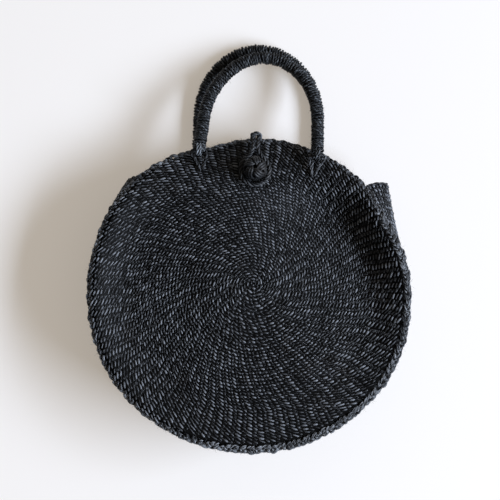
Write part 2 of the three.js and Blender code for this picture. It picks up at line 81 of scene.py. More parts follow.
class Slot(Enum):
    """Names of material slots, which no piece here is given."""

    TWINED = "twined_abaca"
    PLAITED = "plaited_abaca"
    CORD = "abaca_cord"


class Body(Enum):
    """Bodies that the pieces ride on."""

    BAG = "bag_body"
    FLAP = "mouth_flap"
    FRONT_HANDLE = "front_handle"
    BACK_HANDLE = "back_handle"
    LOOP = "loop"


def smoothstep(value: Array, low: float, high: float) -> Array:
    """Cubic step from 0 at low to 1 at high.

    Args:
        value: Places to work it out at.
        low: Where the step starts.
        high: Where the step ends.

    Returns:
        3t^2 - 2t^3, with t the clipped share of the way from low to high.
    """
    share = np.clip((value - low) / (high - low), 0.0, 1.0)
    return share * share * (3.0 - 2.0 * share)


def unit(vectors: Array) -> Array:
    """Vectors along the last axis, divided by their lengths."""
    return vectors / np.linalg.norm(vectors, axis=-1, keepdims=True)


def stacked(x: Array, y: Array, z: Array) -> Array:
    """Points from three arrays of coordinates, which may need broadcasting."""
    return np.stack(np.broadcast_arrays(x, y, z), axis=-1)


def turned(points: Array, angle: float) -> Array:
    """Points turned about the X axis by an angle in radians."""
    x, y, z = np.moveaxis(points, -1, 0)
    cosine, sine = math.cos(angle), math.sin(angle)
    return stacked(x, y * cosine - z * sine, y * sine + z * cosine)


def lifted(surface: Surface, a: Array, b: Array, height: Array) -> Array:
    """Points at a height above a surface: the surface plus its unit normal times the height.

    Args:
        surface: Function of two parameters.
        a: First parameter.
        b: Second parameter.
        height: Height along the normal, which is the cross product of the two derivatives.

    Returns:
        The points, with a last axis of three.
    """
    step = 1e-5
    along_a = surface(a + step, b) - surface(a - step, b)
    along_b = surface(a, b + step) - surface(a, b - step)
    return surface(a, b) + unit(np.cross(along_a, along_b)) * np.asarray(height)[..., None]


def spline(knots: Array, samples: int = CURVE_SAMPLES) -> Array:
    """Centripetal Catmull-Rom curve through knots.

    Args:
        knots: Points to go through.
        samples: Points per span.

    Returns:
        Points of the cubic Hermite spans whose end tangents weigh the chords by their square roots.
    """
    first, last = 2 * knots[0] - knots[1], 2 * knots[-1] - knots[-2]
    padded = np.concatenate([first[None], knots, last[None]])
    p0, p1, p2, p3 = padded[:-3], padded[1:-2], padded[2:-1], padded[3:]
    chords = (p1 - p0, p2 - p1, p3 - p2)
    d0, d1, d2 = (np.linalg.norm(chord, axis=1, keepdims=True) ** 0.5 for chord in chords)
    start = ((p1 - p0) / d0 - (p2 - p0) / (d0 + d1) + (p2 - p1) / d1) * d1
    end = ((p2 - p1) / d1 - (p3 - p1) / (d1 + d2) + (p3 - p2) / d2) * d1
    t = (np.arange(samples) / samples)[None, :, None]
    span = (2 * t**3 - 3 * t**2 + 1) * p1[:, None] + (t**3 - 2 * t**2 + t) * start[:, None]
    span = span + (3 * t**2 - 2 * t**3) * p2[:, None] + (t**3 - t**2) * end[:, None]
    return np.concatenate([span.reshape(-1, 3), knots[-1:]])


def lengths_along(points: Array) -> Array:
    """Distance along a line of points, from its start to each point."""
    return np.concatenate([[0.0], np.cumsum(np.linalg.norm(np.diff(points, axis=0), axis=1))])


def full_turn(count: int) -> Array:
    """Even angles round a full turn, without its end."""
    return np.linspace(0.0, 2 * np.pi, count, endpoint=False)


def read_off(wanted: Array, along: Array, points: Array) -> Array:
    """Points of a line at wanted distances along it, straight between its own points."""
    return np.stack([np.interp(wanted, along, points[:, axis]) for axis in range(3)], axis=1)


def evenly(points: Array, spacing: float) -> Array:
    """The same line with points at an even spacing, read off at equal distances along it."""
    along = lengths_along(points)
    wanted = np.linspace(0.0, along[-1], max(3, int(round(along[-1] / spacing)) + 1))
    return read_off(wanted, along, points)


def tangents(points: Array, closed: bool = False) -> Array:
    """Unit tangents of a line of points, by central differences."""
    if closed:
        return unit(np.roll(points, -1, axis=0) - np.roll(points, 1, axis=0))
    return unit(np.gradient(points, axis=0))


def square_to(along: Array, guide: Array, spare: Array) -> tuple[Array, Array]:
    """Two unit directions square to each tangent, by a guide, or by a spare one where that lies along it."""
    clear = np.abs(np.sum(along * guide, axis=1, keepdims=True)) < NEARLY_ALONG
    first = unit(np.cross(along, np.where(clear, guide, spare)))
    return first, np.cross(along, first)


def tube(
    points: Array, toward: Array, radii: tuple[Array | float, Array | float], sides: int, closed: bool = False
) -> Array:
    """Elliptical section carried along a line.

    Args:
        points: The line.
        toward: Direction of the section's first axis, one for each point.
        radii: Half thickness along that axis and half width across it.
        sides: Points round the section.
        closed: Whether the line closes on itself.

    Returns:
        Grid of points, of shape (1, points, sides, 3).
    """
    along = tangents(points, closed)
    first = unit(toward - np.sum(toward * along, axis=1, keepdims=True) * along)
    second = np.cross(along, first)
    turn = 2 * np.pi * np.arange(sides) / sides
    thick, wide = (np.broadcast_to(np.asarray(r, float), len(points))[:, None, None] for r in radii)
    up_part = first[:, None] * thick * np.cos(turn)[None, :, None]
    side_part = second[:, None] * wide * np.sin(turn)[None, :, None]
    return (points[:, None] + up_part + side_part)[None]


def crossed_turns(radius: float, tilt: float) -> list[Array]:
    """Two circles of a radius about the origin, tilted both ways about the X axis, as in a small knot."""
    turn = full_turn(KNOT_POINTS)
    circle = stacked(radius * np.cos(turn), radius * np.sin(turn), np.zeros_like(turn))
    return [turned(circle, tilt), turned(circle, -tilt)]


def wander(along: Array, wave: float, rng: np.random.Generator) -> Array:
    """Smooth wander between about -1 and 1: a mean of sines near a wavelength, with random phases."""
    waves = wave * WANDER_WAVES
    phases = rng.uniform(0.0, 2 * np.pi, len(waves))
    return np.mean(np.sin(2 * np.pi * along[..., None] / waves + phases), axis=-1) * WANDER_GAIN


class StrandMesh:
    """Closed skins over grids of points, gathered into one mesh.

    The UV map runs in millimetres along and round each strand. Each strand has a tone, and each point a
    crest paleness, which is 1 on the crest, where hands rub, and 0 where the strand is tucked in. The
    paleness is partly real rubbing, partly painted highlight on the crest and painted shade in the tucks.
    """

    def __init__(self, seed: int) -> None:
        """Starts empty, with its own random numbers."""
        self.rng = np.random.default_rng(seed)
        self.points: list[Array] = []
        self.faces: list[Array] = []
        self.uvs: list[Array] = []
        self.tones: list[Array] = []
        self.wear_and_shades: list[Array] = []
        self.total = 0

    def add(self, grid: Array, closed: bool = False, cap: float = 0.0, wear_and_shade: Array | float = 1.0) -> None:
        """Adds strands that are skins over rows of rings.

        Args:
            grid: Points of shape (strands, rings, sides, 3).
            closed: Whether the last ring joins the first.
            cap: How far an end's tip stands out, in steps between rings.
            wear_and_shade: Paleness of each ring's crest, or of them all: partly real rubbing, partly painted
            highlight. It falls off round the ring from its first point as the squared half cosine, which
            paints shade on the sides and underside of each strand.
        """
        strands, rings, sides, _ = grid.shape
        middle = grid.mean(axis=2)
        # Paleness peaks at each ring's first point, the crest, and falls to none on the far side: painted
        # highlight on the crest and painted shade below it, over real rubbing.
        around = np.cos(np.pi * np.arange(sides) / sides) ** 2
        if self._inside_out(grid[0], middle[0]):
            grid, around = grid[:, :, ::-1], around[::-1]
        tone = self.rng.random(strands)
        ahead = np.roll(middle, -1, axis=1) if closed else middle[:, 1:]
        steps = np.linalg.norm(ahead - middle[:, : ahead.shape[1]], axis=2) / MM
        run = np.concatenate([np.zeros((strands, 1)), np.cumsum(steps, axis=1)], axis=1)
        run = run + TONE_SHIFT_MM * tone[:, None]
        ring = grid[:, rings // 2]
        girth = np.linalg.norm(np.roll(ring, -1, axis=1) - ring, axis=2).sum(axis=1) / MM
        index = self.total + np.arange(strands * rings * sides).reshape(strands, rings, sides)
        here = index if closed else index[:, :-1]
        there = np.roll(index, -1, axis=1) if closed else index[:, 1:]
        quads = np.stack([here, np.roll(here, -1, 2), np.roll(there, -1, 2), there], axis=-1)
        start, end = run[:, : here.shape[1], None], run[:, 1 : here.shape[1] + 1, None]
        side = np.arange(sides) / sides * girth[:, None]
        low, high = side[:, None, :], side[:, None, :] + girth[:, None, None] / sides
        corners = ((start, low), (start, high), (end, high), (end, low))
        # Crest paleness of every point: partly real rubbing, partly painted highlight and painted shade.
        worn = np.broadcast_to(np.broadcast_to(wear_and_shade, rings)[:, None] * around, (strands, rings, sides))
        self._put(grid.reshape(-1, 3), np.repeat(tone, rings * sides), worn.ravel())
        self._face(quads.reshape(-1, 4), np.stack([stacked(u, v, v)[..., :2] for u, v in corners], axis=3))
        if not closed:
            for edge, inner, flip in ((0, 1, True), (-1, -2, False)):
                self._close(index[:, edge], middle[:, edge], middle[:, inner], tone, cap, flip)

    @staticmethod
    def _inside_out(grid: Array, middle: Array) -> bool:
        """Whether the faces of a strand point to its middle line, by the first quads of its middle ring."""
        row = len(grid) // 2 - 1
        first, beside, ahead = grid[row], np.roll(grid[row], -1, axis=0), grid[row + 1]
        outward = np.cross(beside - first, ahead - first)
        return float(np.sum(outward * (first - middle[row]))) < 0.0

    def _close(self, ring: Array, centre: Array, inner: Array, tone: Array, cap: float, flip: bool) -> None:
        """Closes one end of each strand with a fan of triangles to a tip beyond its last ring."""
        tips = self.total + np.arange(len(tone))
        # The tips get no paleness: painted shade where each strand ends.
        self._put(centre + cap * (centre - inner), tone, np.zeros(len(tone)))
        pair = (np.roll(ring, -1, axis=1), ring) if flip else (ring, np.roll(ring, -1, axis=1))
        fan = np.stack([np.broadcast_to(tips[:, None], ring.shape), *pair], axis=-1).reshape(-1, 3)
        flat = np.zeros((len(fan), 3, 2))
        flat[..., 0] = np.repeat(TONE_SHIFT_MM * tone, ring.shape[1])[:, None]
        self._face(fan, flat)

    def _put(self, points: Array, tone: Array, wear_and_shade: Array) -> None:
        """Keeps points with their tones and wear."""
        self.points.append(points)
        self.tones.append(tone)
        self.wear_and_shades.append(wear_and_shade)
        self.total += len(points)

    def _face(self, faces: Array, uvs: Array) -> None:
        """Keeps faces and their corners' UVs."""
        self.faces.append(faces)
        self.uvs.append(uvs.reshape(-1, 2))

    def build(self, name: str, material: bpy.types.Material) -> bpy.types.Object:
        """Makes the object.

        Args:
            name: Name of the piece.
            material: Its finish.

        Returns:
            The object, linked to the scene, at the origin.
        """
        mesh = bpy.data.meshes.new(name)
        points = np.concatenate(self.points).astype(np.float32)
        corners = np.concatenate([faces.ravel() for faces in self.faces]).astype(np.int32)
        sizes = np.concatenate([np.full(len(faces), faces.shape[1]) for faces in self.faces])
        starts = np.concatenate([[0], np.cumsum(sizes)[:-1]]).astype(np.int32)
        mesh.vertices.add(len(points))
        mesh.vertices.foreach_set("co", points.ravel())
        mesh.loops.add(len(corners))
        mesh.loops.foreach_set("vertex_index", corners)
        mesh.polygons.add(len(starts))
        mesh.polygons.foreach_set("loop_start", starts)
        mesh.update(calc_edges=True)
        mesh.polygons.foreach_set("use_smooth", np.ones(len(starts), bool))
        layer = mesh.uv_layers.new(name="strand")
        layer.data.foreach_set("uv", np.concatenate(self.uvs).astype(np.float32).ravel())
        for label, parts in (("tone", self.tones), ("wear_and_shade", self.wear_and_shades)):
            layer = mesh.attributes.new(label, "FLOAT", "POINT")
            layer.data.foreach_set("value", np.concatenate(parts).astype(np.float32))
        mesh.materials.append(material)
        mesh.validate()
        piece = bpy.data.objects.new(name, mesh)
        bpy.context.scene.collection.objects.link(piece)
        LOG.info("%s: %d triangles", name, int(np.sum(sizes - 2)))
        return piece


@dataclass(frozen=True)
class BagForm:
    """Forms of the panels and the gusset, with the sizes of the solids."""

    rim_radius: float = 0.177
    front_crown: float = 0.1715
    back_crown: float = 0.170
    border_radius: float = 0.0045
    panel_thickness: float = 0.004
    depth: float = 0.084
    tilt: float = math.radians(3.6)
    clearance: float = 0.0003
    fold_y: float = 0.117
    fold_round: float = 0.009
    flap_bend: float = math.radians(21.0)
    dish_depth: float = 0.005
    dish_hollows: tuple[tuple[float, float, float], ...] = (
        (32.0, 45.0, 0.019),
        (180.0, 55.0, 0.009),
        (60.0, 26.0, 0.006),
        (308.0, 40.0, -0.005),
    )
    dish_wall: float = 0.042
    dish_steepness: float = 0.5
    dish_middle: float = 0.020
    dish_fade: tuple[float, float] = (0.086, 0.158)
    slack_angle: tuple[float, float] = (30.0, 16.0)
    slack_in: float = 0.0085
    slack_up: float = 0.004
    slack_reach: tuple[float, float] = (0.115, 0.168)
    back_lift: float = 0.0148
    back_lift_span: tuple[float, float] = (0.082, 0.147)
    gusset_sweep: float = math.radians(134.5)
    gusset_bulge: float = 0.002
    ear_sweep: float = math.radians(30.0)
    left_flare: float = 0.008
    right_flare: float = 0.0225
    ear_round: float = math.radians(4.0)
    uneven: tuple[tuple[float, float, float], ...] = (
        (107.0, 12.0, -0.0050),
        (147.0, 14.0, 0.0020),
        (210.0, 20.0, 0.0024),
        (270.0, 22.0, -0.0012),
        (328.0, 16.0, 0.0018),
        (4.0, 12.0, -0.0010),
    )
    rolled_middle: float = math.radians(140.0)
    rolled_half: tuple[float, float] = (math.radians(95.0), math.radians(120.0))
    rolled_drop: float = 0.0028
    table_points: int = 2000

    @property
    def panel_radius(self) -> float:
        """Radius of a panel inside its border."""
        return self.rim_radius - self.border_radius - self.clearance

    def shaped(self, x: Array, y: Array) -> tuple[Array, Array]:
        """Disc coordinates with the hand-made rim's unevenness.

        The radius grows by a sum of bell curves of the angle, times the squared share of the radius.

        Args:
            x: First coordinate on the even disc.
            y: Second coordinate on the even disc.

        Returns:
            Both coordinates on the uneven disc.
        """
        angle = np.degrees(np.arctan2(y, x))
        grown = np.zeros(np.broadcast(x, y).shape)
        for middle, width, amount in self.uneven:
            grown = grown + amount * self.bell(angle, middle, width)
        scale = 1.0 + grown / self.rim_radius * np.clip(np.hypot(x, y) / self.rim_radius, 0.0, 1.0)
        return x * scale, y * scale

    @staticmethod
    def bell(angle: Array, middle: float, spread: float) -> Array:
        """Bell curve of an angle in degrees: 1 at the middle, and 1/e at the spread to either side."""
        away = (angle - middle + 180.0) % 360.0 - 180.0
        return np.exp(-((away / spread) ** 2))

    def rolled(self, angle: Array) -> Array:
        """How far the front border is rolled under the edge: 1 round the mouth and the left, 0 elsewhere."""
        away = (angle - self.rolled_middle + np.pi) % (2 * np.pi) - np.pi
        return 1.0 - smoothstep(np.abs(away), *self.rolled_half)

    def dish(self, x: Array, y: Array) -> Array:
        """Depth of the dish: a wall inside the edge, with hollows that run out towards the middle.

        Each hollow is a bell curve of the angle, and all of it fades towards the mouth.
        """
        r = np.hypot(x, y)
        angle = np.degrees(np.arctan2(y, x))
        hollow = np.zeros(r.shape)
        for middle, spread, amount in self.dish_hollows:
            hollow = hollow + amount * self.bell(angle, middle, spread)
        hollow = hollow * smoothstep(r, self.dish_middle, self.panel_radius - self.dish_wall)
        inwards = np.clip((self.panel_radius - r) / self.dish_wall, 0.0, 1.0)
        steep = inwards * (2.0 - inwards)
        wall = smoothstep(inwards, 0.0, 1.0) * (1.0 - self.dish_steepness) + steep * self.dish_steepness
        return (self.dish_depth + hollow) * wall * (1.0 - smoothstep(y, *self.dish_fade))

    def front(self, x: Array, y: Array) -> Array:
        """Middle surface of the front panel: the flat disc tilted, dished, and bent down past the fold.

        At the slack, beside the mouth's right end, the edge is drawn in and up.
        """
        slack = self.bell(np.degrees(np.arctan2(y, x)), *self.slack_angle)
        slack = slack * smoothstep(np.hypot(x, y), *self.slack_reach)
        dish = self.dish(x, y) - self.slack_up * slack
        x, y = self.shaped(x, y)
        drawn = 1.0 - self.slack_in / self.rim_radius * slack
        x, y = x * drawn, y * drawn
        v = np.where(y > 0, y * self.front_crown / self.rim_radius, y)
        bent = self.fold_round * np.logaddexp(0.0, (v - self.fold_y) / self.fold_round)
        fall = math.tan(self.tilt) * (v + self.rim_radius) + math.sin(self.flap_bend) * bent
        z = self.depth - self.border_radius - fall - dish
        return stacked(x, v - (1.0 - math.cos(self.flap_bend)) * bent, z)

    def back(self, x: Array, y: Array) -> Array:
        """Middle surface of the back panel: flat on the table, lifted at its mouth end."""
        x, y = self.shaped(x, y)
        v = np.where(y > 0, y * self.back_crown / self.rim_radius, y)
        return stacked(x, v, self.back_lift * smoothstep(v, *self.back_lift_span) + self.panel_thickness / 2)

    def gusset(self, sweep: Array, share: Array) -> Array:
        """Middle surface of the gusset: straight from border to border, bulged outwards as a sine.

        Towards each end the bulge grows by a flare times the squared share of the way to the end.

        Args:
            sweep: Angle from the bottom of the bag at the borders, positive to the right. Between them it
                shrinks by a share of the squared sine, which hollows the ends.
            share: Share of the way from the back border to the front one.

        Returns:
            The points.
        """
        sweep, share = np.broadcast_arrays(sweep, share)
        bow = np.sin(np.pi * share)
        end = self.gusset_sweep - self.ear_round * bow**2
        sweep = sweep * end / self.gusset_sweep
        outward = stacked(np.sin(sweep), -np.cos(sweep), np.zeros_like(sweep))
        edge = self.border_radius + self.clearance
        x, y = self.rim_radius * outward[..., 0], self.rim_radius * outward[..., 1]
        foot = self.back(x, y) + UP * (2 * self.border_radius + self.clearance - self.panel_thickness / 2)
        head = self.front(x, y) - UP * edge
        flare = np.where(sweep > 0, self.right_flare, self.left_flare)
        flare = flare * np.maximum(0.0, 1.0 - (end - np.abs(sweep)) / self.ear_sweep) ** 2
        bulge = (self.gusset_bulge + flare) * bow
        return foot + (head - foot) * share[..., None] + outward * bulge[..., None]

    def front_rim(self, angle: Array) -> Array:
        """Centre line of the front border."""
        return self.front(self.rim_radius * np.cos(angle), self.rim_radius * np.sin(angle))

    def front_edge(self, angle: Array) -> Array:
        """Centre line of the front plait: the border's, let down where it is rolled under."""
        return self.front_rim(angle) - UP * (self.rolled_drop * self.rolled(angle))[..., None]

    def back_rim(self, angle: Array) -> Array:
        """Centre line of the back border, which stands on the panel's resting face."""
        rise = self.border_radius - self.panel_thickness / 2
        return self.back(self.rim_radius * np.cos(angle), self.rim_radius * np.sin(angle)) + UP * rise

    def flat_y(self, surface: Surface, y: float) -> float:
        """Place on the flat disc's middle line that a panel takes to a given y, read off a fine table."""
        table = np.linspace(0.0, self.rim_radius, self.table_points)
        return float(np.interp(y, surface(np.zeros_like(table), table)[:, 1], table))

    def height(self, surface: Surface, x: float, y: float) -> float:
        """Height of a panel's middle surface at a place."""
        return float(surface(np.array(x), np.array(self.flat_y(surface, y)))[2])

    def flap_angle(self, flat_place: float) -> float:
        """Slope angle of the flap over one border's width before a place on its middle line."""
        ends = self.front(np.zeros(2), np.array([flat_place - 2 * self.border_radius, flat_place]))
        return math.atan2(ends[1, 2] - ends[0, 2], ends[1, 1] - ends[0, 1])


@dataclass(frozen=True)
class Stitch:
    """One stitch of the twining: a strand that rises over a warp and dives beside it."""

    sides: int = 5
    stations: tuple[float, ...] = (-0.96, -0.42, 0.42, 0.96)
    half_width: float = 0.00098
    half_thickness: float = 0.00120
    crest: float = 0.00075
    dip: float = -0.0014
    narrowing: float = 0.55
    tip: float = 0.35
    uneven_length: float = 0.20
    uneven_lean: float = 0.40
    uneven_width: float = 0.26
    uneven_crest: float = 0.60
    stray_along: float = 0.08
    stray_across: float = 0.22

    @property
    def wear_and_shade(self) -> Array:
        """Paleness along a stitch: painted highlight on its crest over rubbing, painted shade where it dives.
        """
        return 1.0 - np.abs(np.array(self.stations)) ** 3

    def grains(self, reach: Array, slope: Array, rng: np.random.Generator) -> tuple[Array, Array, Array]:
        """Stitches about their own centres, on flat cloth.

        Each is an ellipse carried along a slanted line. Its height falls from the crest as a fourth
        power, and it narrows towards its ends in the same way.

        Args:
            reach: Length of each stitch along its row.
            slope: Rise across the row for each unit along it.
            rng: Random numbers for the small differences between stitches.

        Returns:
            Places along the row, across it and above the cloth, each of shape (stitches, rings, sides).
        """
        count = len(reach)
        draw = rng.uniform(-1.0, 1.0, (6, count, 1, 1))
        half = reach[:, None, None] / 2 * (1.0 + self.uneven_length * draw[0])
        lean = slope[:, None, None] * (1.0 + self.uneven_lean * draw[1])
        wide = self.half_width * (1.0 + self.uneven_width * draw[2])
        high = self.crest * (1.0 + self.uneven_crest * draw[3])
        s = np.array(self.stations)[None, :, None]
        turn = (2 * np.pi * np.arange(self.sides) / self.sides)[None, None, :]
        narrow = 1.0 - self.narrowing * s**4
        cosine = 1.0 / np.sqrt(1.0 + lean**2)
        aside = wide * narrow * np.sin(turn)
        along = half * s - aside * lean * cosine + self.stray_along * reach[:, None, None] * draw[4]
        across = half * s * lean + aside * cosine + self.stray_across * self.half_width * draw[5]
        height = high - (high - self.dip) * s**4 + self.half_thickness * narrow * np.cos(turn)
        return along, across, height


@dataclass(frozen=True)
class DiscTwining:
    """Twined rows of a round panel: rings of stitches whose columns swirl out from the middle."""

    form: BagForm
    row_pitch: float = 0.0037
    most_columns: int = 84
    column_growth: float = 0.0835
    column_power: float = 1.9
    swirl: float = math.radians(19.5)
    swirl_reach: tuple[float, float] = (0.004, 0.135)
    eye: tuple[float, float] = (0.003, 0.0075)
    widest_gap: float = 0.0099
    slant: tuple[float, float] = (math.radians(14.0), math.radians(26.0))
    cover: tuple[float, float] = (1.05, 1.0)
    weft_sink: float = 0.0006
    # Crest paleness of each weft: the deeper second weft is painted darker, as painted shade.
    weft_painted_shade: tuple[float, float] = (1.0, 0.62)
    weft_reach: tuple[float, float] = (1.42, 1.0)
    stray: float = 0.0005
    hem: float = 0.0012
    overhang: float = 0.0042
    first_row: float = 0.6
    first_columns: int = 4
    gap_choice: tuple[float, float] = (0.8, 1.2)
    settling: int = 3
    stray_waves: tuple[float, ...] = (0.021, 0.034, 0.048, 0.075)
    column_seed: int = 7
    stray_seed: int = 5
    ground_rings: int = 40
    ground_spokes: int = 120
    ground_reach: tuple[float, float] = (0.02, 1.02)

    def columns(self, rng: np.random.Generator) -> tuple[Array, Array, Array]:
        """Stitches row by row, with columns added in the widest gaps as the rows grow.

        A row wants most_columns * tanh((radius / column_growth) ** column_power) columns, or as many as
        keep the gaps below the widest one. After columns are added, each moves half of the way to the
        middle of its neighbours, a few times.

        Args:
            rng: Random numbers that choose among the wide gaps.

        Returns:
            Radius, angle and column gap of every stitch.
        """
        rows = (self.form.panel_radius + self.overhang) / self.row_pitch
        radii = np.arange(self.first_row, rows) * self.row_pitch
        angles = full_turn(self.first_columns)
        found = []
        for radius in radii:
            wanted = self.most_columns * math.tanh((radius / self.column_growth) ** self.column_power)
            wanted = max(wanted, min(2 * math.pi * radius / self.widest_gap, self.most_columns / 2))
            missing = int(round(wanted)) - len(angles)
            gaps = np.diff(angles, append=angles[0] + 2 * np.pi)
            if missing > 0:
                widest = np.argsort(gaps * rng.uniform(*self.gap_choice, len(gaps)))[-missing:]
                angles = np.sort(np.concatenate([angles, angles[widest] + gaps[widest] / 2]))
            for _ in range(self.settling):
                ahead = np.append(angles[1:], angles[0] + 2 * np.pi)
                behind = np.append(angles[-1] - 2 * np.pi, angles[:-1])
                angles = angles / 2 + (ahead + behind) / 4
            gaps = np.diff(angles, append=angles[0] + 2 * np.pi)
            drift = self.swirl * math.log(np.clip(radius, *self.swirl_reach) / self.swirl_reach[0])
            found.append(np.stack([np.full_like(angles, radius), angles + drift, gaps * radius]))
        radius, angle, gap = np.concatenate(found, axis=1)
        return radius, angle, gap

    def place(self, radius: Array, angle: Array) -> tuple[Array, Array]:
        """Disc coordinates of a polar place about the weave's eye, which fades to the disc's centre.

        The hand-pulled rows stray by a sum of sines over the disc, in both directions.

        Args:
            radius: Distance from the eye.
            angle: Angle from +X.

        Returns:
            Both coordinates.
        """
        fade = np.clip(1.0 - radius / self.form.panel_radius, 0.0, 1.0) ** 2
        x = self.eye[0] * fade + radius * np.cos(angle)
        y = self.eye[1] * fade + radius * np.sin(angle)
        rng = np.random.default_rng(self.stray_seed)
        waves = 2 * np.pi / np.array(self.stray_waves)
        strayed = []
        for _ in range(2):
            phase = rng.uniform(0.0, 2 * np.pi, (3, len(waves)))
            sines = [
                np.sin(wave * (x * math.cos(turn) + y * math.sin(turn)) + start)
                for wave, turn, start in zip(waves, phase[0], phase[1])
            ]
            strayed.append(self.stray * sum(sines) / 2.0)
        return x + strayed[0], y + strayed[1]

    def face(
        self, surface: Surface, facing: int, stitch: Stitch, seed: int, weft: int = 0, wefts: int = 1
    ) -> StrandMesh:
        """Stitches of one weft on one face of a panel. The wefts of a row come up by turns.

        Args:
            surface: The panel's middle surface.
            facing: 1 for its upper face, -1 for its lower one.
            stitch: Form of a stitch.
            seed: Seed of the random numbers.
            weft: Which of the row's wefts, from 0. Each lies a little deeper than the one before it.
            wefts: How many wefts share a column.

        Returns:
            The mesh of all the stitches.
        """
        strands = StrandMesh(seed)
        radius, angle, gap = self.columns(np.random.default_rng(self.column_seed))
        gap = gap / wefts
        angle = angle + weft * gap / radius
        over_rim = np.logical_and(facing > 0, self.form.rolled(angle) > 0.5)
        kept = np.logical_or(radius < self.form.panel_radius - self.hem, over_rim)
        radius, angle, gap = radius[kept], angle[kept], gap[kept]
        share = radius / self.form.panel_radius
        slope = np.tan(self.slant[0] + (self.slant[1] - self.slant[0]) * share)
        reach = gap * (self.cover[0] + (self.cover[1] - self.cover[0]) * share)
        reach = reach * (self.weft_reach[weft] if wefts > 1 else 1.0)
        along, across, height = stitch.grains(reach, slope, strands.rng)
        out = radius[:, None, None] + across
        x, y = self.place(out, angle[:, None, None] + along / radius[:, None, None])
        height = height - weft * self.weft_sink
        # The deeper weft gets less crest paleness: painted shade.
        wear_and_shade = stitch.wear_and_shade * self.weft_painted_shade[weft]
        strands.add(lifted(surface, x, y, facing * height), cap=stitch.tip, wear_and_shade=wear_and_shade)
        return strands

    def ground(self, surface: Surface, half_thickness: float) -> StrandMesh:
        """The warps behind the stitches as one thin closed disc: a flat oval profile carried round."""
        strands = StrandMesh(seed=3)
        out = np.linspace(*self.ground_reach, self.ground_rings)
        reach = np.concatenate([out, out[::-1]]) * self.form.panel_radius
        height = np.repeat([half_thickness, -half_thickness], self.ground_rings)
        turn = full_turn(self.ground_spokes)
        x, y = reach[:, None] * np.cos(turn), reach[:, None] * np.sin(turn)
        strands.add(lifted(surface, x, y, np.broadcast_to(height[:, None], x.shape))[None], wear_and_shade=0.0)
        return strands


@dataclass(frozen=True)
class GussetTwining:
    """Twined rows of the gusset, which run along the strip."""

    form: BagForm
    columns: int = 180
    rows: int = 17
    slant: float = math.radians(22.0)
    cover: float = 1.1
    row_pitch: float = 0.0038
    ground_steps: int = 160
    ground_rows: int = 12

    def face(self, facing: int, stitch: Stitch, seed: int) -> StrandMesh:
        """Stitches on one face of the strip.

        Args:
            facing: 1 for the outer face, -1 for the inner one.
            stitch: Form of a stitch.
            seed: Seed of the random numbers.

        Returns:
            The mesh of all the stitches.
        """
        strands = StrandMesh(seed)
        form = self.form
        sweeps = np.linspace(-form.gusset_sweep, form.gusset_sweep, self.columns + 1)
        sweeps = (sweeps[1:] + sweeps[:-1]) / 2
        shares = (np.arange(self.rows) + 0.5) / self.rows
        sweep, share = (part.ravel() for part in np.meshgrid(sweeps, shares, indexing="ij"))
        strip = form.gusset(sweep, np.ones_like(sweep)) - form.gusset(sweep, np.zeros_like(sweep))
        tall = np.linalg.norm(strip, axis=1)[:, None, None]
        reach = np.full_like(sweep, self.cover * 2 * form.gusset_sweep / self.columns * form.rim_radius)
        along, across, height = stitch.grains(reach, np.full_like(sweep, math.tan(self.slant)), strands.rng)
        pitch = tall / self.rows
        a = sweep[:, None, None] + along / form.rim_radius
        b = share[:, None, None] + across * pitch / self.row_pitch / tall
        strands.add(lifted(form.gusset, a, b, facing * height), cap=stitch.tip, wear_and_shade=stitch.wear_and_shade)
        return strands

    def ground(self, half_thickness: float) -> StrandMesh:
        """The warps behind the stitches as one thin closed strip: a flat section carried along the sweep."""
        strands = StrandMesh(seed=4)
        end = self.form.gusset_sweep
        sweep = np.linspace(-end, end, self.ground_steps)[:, None]
        share = np.linspace(0.0, 1.0, self.ground_rows)
        around = np.concatenate([share, share[::-1]])
        height = np.repeat([half_thickness, -half_thickness], self.ground_rows)
        a, b = np.broadcast_arrays(sweep, around[None])
        strands.add(lifted(self.form.gusset, a, b, np.broadcast_to(height, a.shape))[None], wear_and_shade=0.0)
        return strands


